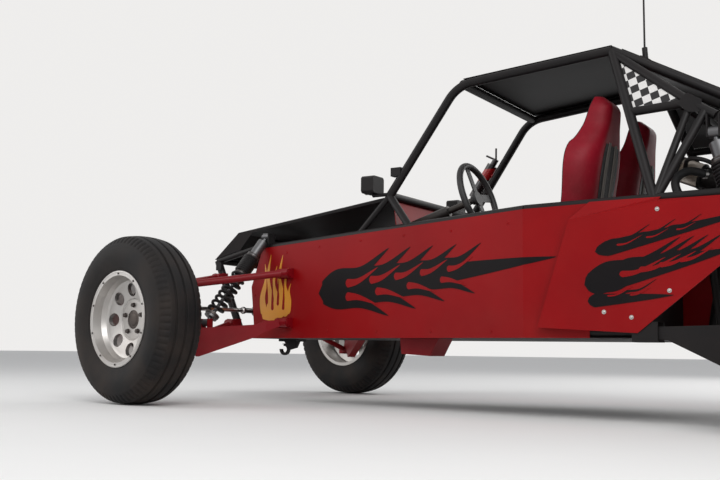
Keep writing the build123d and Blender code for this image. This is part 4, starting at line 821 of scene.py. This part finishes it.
def coil_over(low, top, body, collar_at, main_turns, wire_share):
    """Main and tight spring, and the slider between them, the adjuster collar and the foot ring."""
    start, end = at(*low), at(*top)
    run = end - start
    axis = unit(run)
    wire, radius = body * wire_share * 0.8, body * SPRING_REACH
    split = collar_at - TIGHT_LENGTH
    springs = [coil(start + run * SPRING_FOOT, start + run * split, radius, main_turns, wire),
               coil(start + run * (split + SLIDER_LENGTH), start + run * (collar_at - COLLAR_GAP),
                    radius * TIGHT_REACH, TIGHT_TURNS, wire * TIGHT_WIRE)]
    rings = [damper_ring(SLIDER_RING, body, start + run * split, axis),
             damper_ring(COLLAR_RING, body, start + run * collar_at, axis),
             damper_ring(FOOT_RING, body, start + axis * (body * 0.72 + 22) * MM, axis)]
    return both(springs), both(rings)


springs, rings = [], []
for values in COIL_OVERS:
    some_springs, some_rings = coil_over(*values)
    springs += some_springs
    rings += some_rings
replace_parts(piece("coil_spring_wires", springs, frame_paint), "coil_springs")
piece("spring_collars", rings, dark_steel)


# Intake, hoses and lamps

LONG_HOSE = ((2330, 88, 965), (2270, 150, 975), (2232, 205, 930), (2262, 232, 850), (2330, 215, 770))
SHORT_HOSE = ((2400, 90, 976), (2330, 150, 1015), (2262, 120, 1028), (2232, 60, 1000))
# middle and axis of each hose clip
CLIPS = (((2322, 98, 967), (0.75, 0.65, 0.05)), ((2326, 216, 776), (-0.6, -0.1, -0.75)))
CLIP_BAND = ((-6, 16), (-6, 19), (6, 19), (6, 16))
LENS = ((-1, 33), (2, 33), (4, 26), (6, 12))
LENS_PLACE = (914, 405, 980)
PLEATS, PLEAT_DEPTH, PLEAT_POINTS = 40, 2.6, 6


def pleated_filter(start, end, radius):
    """Air filter: a ring of pleats, r = R + PLEAT_DEPTH cos(PLEATS a), carried along the duct between
    two end caps."""
    axis, first, second = axes_across(end - start)
    angle = np.linspace(0, tau, PLEATS * PLEAT_POINTS, endpoint=False)[:, None]
    reach = (radius + PLEAT_DEPTH * np.cos(PLEATS * angle)) * MM
    ring = reach * (np.cos(angle) * first + np.sin(angle) * second)
    cap = ((-5, radius * 0.8), (-5, radius), (0, radius + 5), (8, radius + 5), (8, radius * 0.8))
    caps = [turned(cap, place, way, 48) for place, way in ((start, axis), (end, -axis))]
    return [sheet(np.stack([start + ring, end + ring]), close_columns=True, cap_rows=True)], caps


paper, filter_caps = pleated_filter(at(2198, 0, 1013), at(2290, 0, 973), 49)
piece("filter_pleats", paper, hot_steel, sharp=60)
piece("filter_caps", filter_caps, soft_rubber)
hoses = [tube(smooth_run(LONG_HOSE, 46), 17, 16), tube(smooth_run(SHORT_HOSE, 36), 9)]
piece("engine_hoses", both(hoses), soft_rubber)
clips = [turned(CLIP_BAND, at(*middle), along, 32) for middle, along in CLIPS]
piece("hose_clips", both(clips), bright_steel)
lens = turned(LENS, at(*LENS_PLACE), FORWARD, 40, closed=False)
piece("lamp_lenses", both([lens]), lens_glass)


# Flames

TUB_START, TUB_FOLD, TUB_LEFT = 190, 1750, 268
TUB_SLOPE, TUB_SLANT = 0.189, 1.0177
SKIN_OUT = 22.5
POD_LEFT = 627.2


def skin_place(back, up, stand):
    """A place on the outside of the side panel, which folds where the tub stops widening."""
    tub = TUB_LEFT + TUB_SLOPE * (np.minimum(back, TUB_FOLD) - TUB_START)
    return at(back, tub + SKIN_OUT * np.where(back < TUB_FOLD, TUB_SLANT, 1.0) + stand, up)


def pod_place(back, up, stand):
    """A place on the outside of the flared rear panel."""
    return at(back, POD_LEFT + stand, up)


LICK_ROOT, LICK_TAPER = 0.08, 0.8
LICK_UNDER = -0.3


def lick(points, half, place, stand):
    """One lick of a flame: an S curve from its root to its tip, half wide. At share s of its length it is
    half min(1, (s / LICK_ROOT)^0.5) (1 - s)^LICK_TAPER to either side, laid on a panel."""
    spine = curve(points, 54)
    share = np.linspace(0, 1, len(spine))[:, None]
    along = unit(np.gradient(spine, axis=0))
    across = np.stack([-along[:, 1], along[:, 0]], axis=-1)
    reach = half * np.minimum(1, (share / LICK_ROOT) ** 0.5) * (1 - share * 0.995) ** LICK_TAPER + 0.2
    edge = np.linspace(-1, 1, 9)[None, :, None]
    flat = spine[:, None] + reach[:, None] * edge * across[:, None]
    top = place(flat[..., 0], flat[..., 1], stand)
    under = place(flat[..., 0], flat[..., 1], LICK_UNDER)[:, ::-1]
    return sheet(np.concatenate([top, under], axis=1), close_columns=True, cap_rows=True)


SPINE_SHARES = (0, 0.35, 0.7, 1)
FLAME_RISES = (1.0, -0.62)
LICK_STEPS = np.array([(0, 0), (80, 62), (220, 84), (370, 172)])
HOLLOW_STEPS = np.array([(128, 34), (205, 44), (312, 96)])
LICK_HALF, HOLLOW_HALF = 0.66, 0.26
FIRST_ROOT, ROOTS_REACH, LAST_SHRINK = 0.03, 0.62, 0.42


def swept_flame(start, end, half, scale, uppers, lowers):
    """A flame of evenly stepped licks: one long body, and licks that leave it above and below, each a
    little smaller than the one before, with a drop-shaped hollow behind each."""
    start, along = np.asarray(start, float), np.subtract(end, start)
    licks, hollows = [([start + along * share for share in SPINE_SHARES], half)], []
    for count, rise in zip((uppers, lowers), FLAME_RISES):
        for index in range(count):
            size = scale * (1 - LAST_SHRINK * index / count)
            root = start + along * (FIRST_ROOT + ROOTS_REACH * index / count)
            licks.append((root + LICK_STEPS * (size, size * rise), half * LICK_HALF * size))
            hollows.append((root + HOLLOW_STEPS * (size, size * rise), half * HOLLOW_HALF * size))
    return licks, hollows


def swept_flames(*rows):
    """The licks and the hollows of several swept flames."""
    licks, hollows = [], []
    for row in rows:
        some_licks, some_hollows = swept_flame(*row)
        licks += some_licks
        hollows += some_hollows
    return licks, hollows


NOSE_FLAMES = ((([(252, 430), (345, 408), (446, 432)], 30),
                ([(270, 415), (252, 500), (276, 590), (266, 668)], 25),
                ([(302, 405), (308, 500), (288, 600), (308, 712)], 27),
                ([(340, 400), (352, 490), (330, 570), (352, 655)], 25),
                ([(378, 402), (392, 500), (370, 600), (392, 706)], 26),
                ([(414, 408), (430, 490), (410, 560), (432, 640)], 22),
                ([(440, 420), (448, 480), (440, 530), (452, 566)], 11)),
               (([(284, 470), (286, 520), (280, 600)], 9), ([(326, 440), (324, 500), (322, 590)], 10),
                ([(364, 462), (364, 520), (366, 590)], 9), ([(402, 440), (404, 500), (404, 590)], 9)))
SIDE_FLAMES = swept_flames(((640, 512), (1882, 612), 76, 1.05, 5, 4))
REAR_FLAMES = swept_flames(((2008, 500), (2540, 612), 52, 0.9, 4, 0),
                           ((2020, 440), (2330, 456), 26, 0.5, 2, 0),
                           ((2050, 620), (2610, 738), 30, 0.5, 3, 0))
LICK_STAND, HOLLOW_STAND, LAYER_STEP = 1.1, 1.75, 0.035


def flame(licks, place, base):
    """Overlapping licks; each lies a little higher than the one before, so that none shares a face."""
    return [lick(points, half, place, base + LAYER_STEP * index)
            for index, (points, half) in enumerate(licks)]


for flame_name, (licks, hollows), place, finish in (("nose", NOSE_FLAMES, skin_place, yellow_decal),
                                                    ("side", SIDE_FLAMES, skin_place, black_decal),
                                                    ("rear", REAR_FLAMES, pod_place, black_decal)):
    piece(f"{flame_name}_flames", both(flame(licks, place, LICK_STAND)), finish)
    piece(f"{flame_name}_flame_hollows", both(flame(hollows, place, HOLLOW_STAND)), red_paint)


# Screws of the panels

SKIN_SCREWS = ((639, 730), (197, 519), (1680, 754), (1402, 745), (900, 740), (1150, 744), (420, 715),
               (700, 340), (1000, 336), (1300, 334), (1600, 332))
POD_SCREWS = ((2279, 762), (2316, 472), (2080, 400), (2180, 380))


def panel_screw(back, up, place, radius):
    """A button head on a washer, on the outside of a panel."""
    out = unit(place(back, up, 10.0) - place(back, up, 0.0))
    washer = turned([(-0.5, radius), (1.2, radius), (1.2, radius * 0.6)], place(back, up, 0.0), out, 20,
                    closed=False)
    return [washer, dome(place(back, up, 1.0), out, radius * 0.62, radius * 0.4)]


def screws_on(spots, place, radius):
    """The screws of a panel, on both sides."""
    return both([shell for spot in spots for shell in panel_screw(*spot, place, radius)])


piece("panel_screws", screws_on(SKIN_SCREWS, skin_place, 6), red_paint, sharp=30)
piece("pod_screws", screws_on(POD_SCREWS, pod_place, 8), bright_steel, sharp=30)


# Seats

SEAT_LEFT = 250
SEAT_LOW, SEAT_HIGH = 384, 1284
SHELL_WALL = 13
# height and, there, the shell's half width, the back of its middle and the front of its wings
SEAT_HALF = ((380, 196), (440, 204), (520, 205), (620, 190), (700, 180), (860, 196), (980, 205),
             (1050, 190), (1110, 146), (1170, 104), (1240, 88), (1284, 60))
SEAT_BACK = ((380, 1850), (440, 1885), (500, 1908), (800, 1950), (1050, 1990), (1200, 2014), (1250, 2012),
             (1284, 1976))
SEAT_WING = ((380, 1420), (470, 1402), (525, 1420), (560, 1640), (620, 1770), (700, 1812), (850, 1852),
             (1068, 1872), (1110, 1896), (1200, 1925), (1284, 1946))
BACK_POWER, WING_POWER, WING_START = 2.1, 1.6, 0.3


def seat_line(levels, up):
    """A value given at a few heights, as a smooth curve of the height."""
    table = curve(levels, 240)
    return np.interp(up, table[:, 0], table[:, 1])


def seat_wrap(turn, up, wall):
    """A place on the shell: turn t runs from -1 at one wing's edge over 0 in the middle of the back to 1.
    Across, half (1 - (1 - |t|)^BACK_POWER); back, the back line less the wing's reach times
    r^WING_POWER, where r rises from 0 at WING_START to 1 at the edge."""
    half = seat_line(SEAT_HALF, up) - wall
    back, wing = seat_line(SEAT_BACK, up) - wall, seat_line(SEAT_WING, up)
    across = half * np.sign(turn) * (1 - (1 - np.abs(turn)) ** BACK_POWER)
    reach = np.clip((np.abs(turn) - WING_START) / (1 - WING_START), 0, 1) ** WING_POWER
    return back - (back - wing) * reach, across


def shell_layer(turn, up, outside, inside):
    """A closed wall that follows the shell, from outside to inside, each counted in from its skin."""
    outer, outer_left = seat_wrap(turn, up, outside)
    inner, inner_left = seat_wrap(turn[:, ::-1], up, inside)
    back = np.concatenate([outer, inner], axis=1)
    left = np.concatenate([outer_left, inner_left], axis=1)
    return sheet(at(back, SEAT_LEFT + left, up), close_columns=True, cap_rows=True)


def seat_shell():
    """The bucket: an outer and an inner U at every height, joined at the wings' edges."""
    turn, up = np.linspace(-1, 1, 49)[None], np.linspace(SEAT_LOW, SEAT_HIGH, 72)[:, None]
    return shell_layer(turn, up, 0, SHELL_WALL)


def shell_patch(turn_low, turn_high, low, high, stand, depth=3.0):
    """A thin plate that follows the outside of the shell and stands out from it."""
    turn, up = np.linspace(turn_low, turn_high, 21)[None], np.linspace(low, high, 26)[:, None]
    return shell_layer(turn, up, -stand, depth - stand)


def signed_power(value, share):
    """A power that keeps the sign: sign(v) |v|^p."""
    return np.sign(value) * np.abs(value) ** share


ACROSS, LEAN, LEAN_FACE = (0, 1, 0), (-150, 0, 600), (1, 0, 0.25)
PAD_SIDES, PAD_CORNERS, PAD_FACE = 0.55, 0.36, 0.8
SEAM_WIDTH, SEAM_DEPTH, PAD_CROWN = 0.035, 0.32, 0.16


def pad(centre, along, across, through, half_long, half_wide, half_deep, seams=(), bow=0.0):
    """A cushion: a superellipsoid whose outline is squarish and whose face is crowned, with sewn channels
    pressed in at the seams and its length bowed: c + a x + b y + (t z - channels + bow x^2) n."""
    rise = np.linspace(-pi / 2, pi / 2, 42)[:, None]
    turn = np.linspace(0, tau, 96, endpoint=False)[None]
    long = signed_power(np.cos(rise), PAD_SIDES) * signed_power(np.cos(turn), PAD_CORNERS)
    wide = signed_power(np.cos(rise), PAD_SIDES) * signed_power(np.sin(turn), PAD_CORNERS)
    pressed = sum((np.exp(-((long - seam) / SEAM_WIDTH) ** 2) for seam in seams), 0 * long)
    deep = signed_power(np.sin(rise), PAD_FACE) * (1 - SEAM_DEPTH * pressed)
    deep = deep * (1 - PAD_CROWN * (wide ** 2 + long ** 2) / 2)
    points = (long * half_long)[..., None] * unit(along) + (wide * half_wide)[..., None] * unit(across)
    points = points + (deep * half_deep + bow * (long ** 2 - 0.4))[..., None] * unit(through)
    return sheet(at(*centre) + points * MM, close_columns=True, cap_rows=True)


def wing_piping():
    """Piping along the edges of both wings of the shell."""
    heights = np.linspace(SEAT_LOW, SEAT_HIGH, 60)
    edge_back, edge_left = seat_wrap(np.array([1.0]), heights, SHELL_WALL / 2)
    return [tube(at(edge_back, SEAT_LEFT + sign * edge_left, heights), 5, 10, guide=np.array(ACROSS))
            for sign in (1, -1)]


def seat_piece(name, shells, finish, side_name, side, sharp=60):
    """A piece of the left seat, or its mirror image for the right one."""
    shells = shells if side > 0 else [mirrored(shell) for shell in shells]
    return piece(f"{name}_{side_name}", shells, finish, sharp=sharp)


for side_name, side in SIDES:
    shell = seat_piece("bucket", [seat_shell()], crimson, side_name, side, 50)
    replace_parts(shell, f"seat_{side_name}")
    # A flat black plate on the back of the shell round the belts: painted shade standing in for the dark
    # harness slot, with no recess cut.
    painted_slot_shade = shell_patch(-0.24, 0.24, 690, 1085, 1.5)
    seat_piece("seat_painted_slot_shade", [painted_slot_shade], black_cloth, side_name, side)
    belts = [shell_patch(low, low + 0.07, 850, 1092, 4.5, 4.0) for low in (-0.14, 0.07)]
    seat_piece("seat_belts", belts, webbing, side_name, side)
    cushion = pad((1640, SEAT_LEFT, 434), (-1, 0, 0.06), ACROSS, (0.06, 0, 1), 215, 178, 52,
                  (-0.4, 0.0, 0.4), 12)
    back_pad = pad((1896, SEAT_LEFT, 800), LEAN, ACROSS, LEAN_FACE, 245, 158, 40, (-0.5, -0.1, 0.3), 6)
    head_pad = pad((1952, SEAT_LEFT, 1172), LEAN, ACROSS, LEAN_FACE, 84, 82, 30)
    seat_piece("seat_cushion", [cushion], black_cloth, side_name, side, 80)
    seat_piece("seat_back_pad", [back_pad], black_cloth, side_name, side, 80)
    seat_piece("seat_head_pad", [head_pad], crimson, side_name, side, 80)
    seat_piece("seat_piping", wing_piping(), black_cloth, side_name, side)
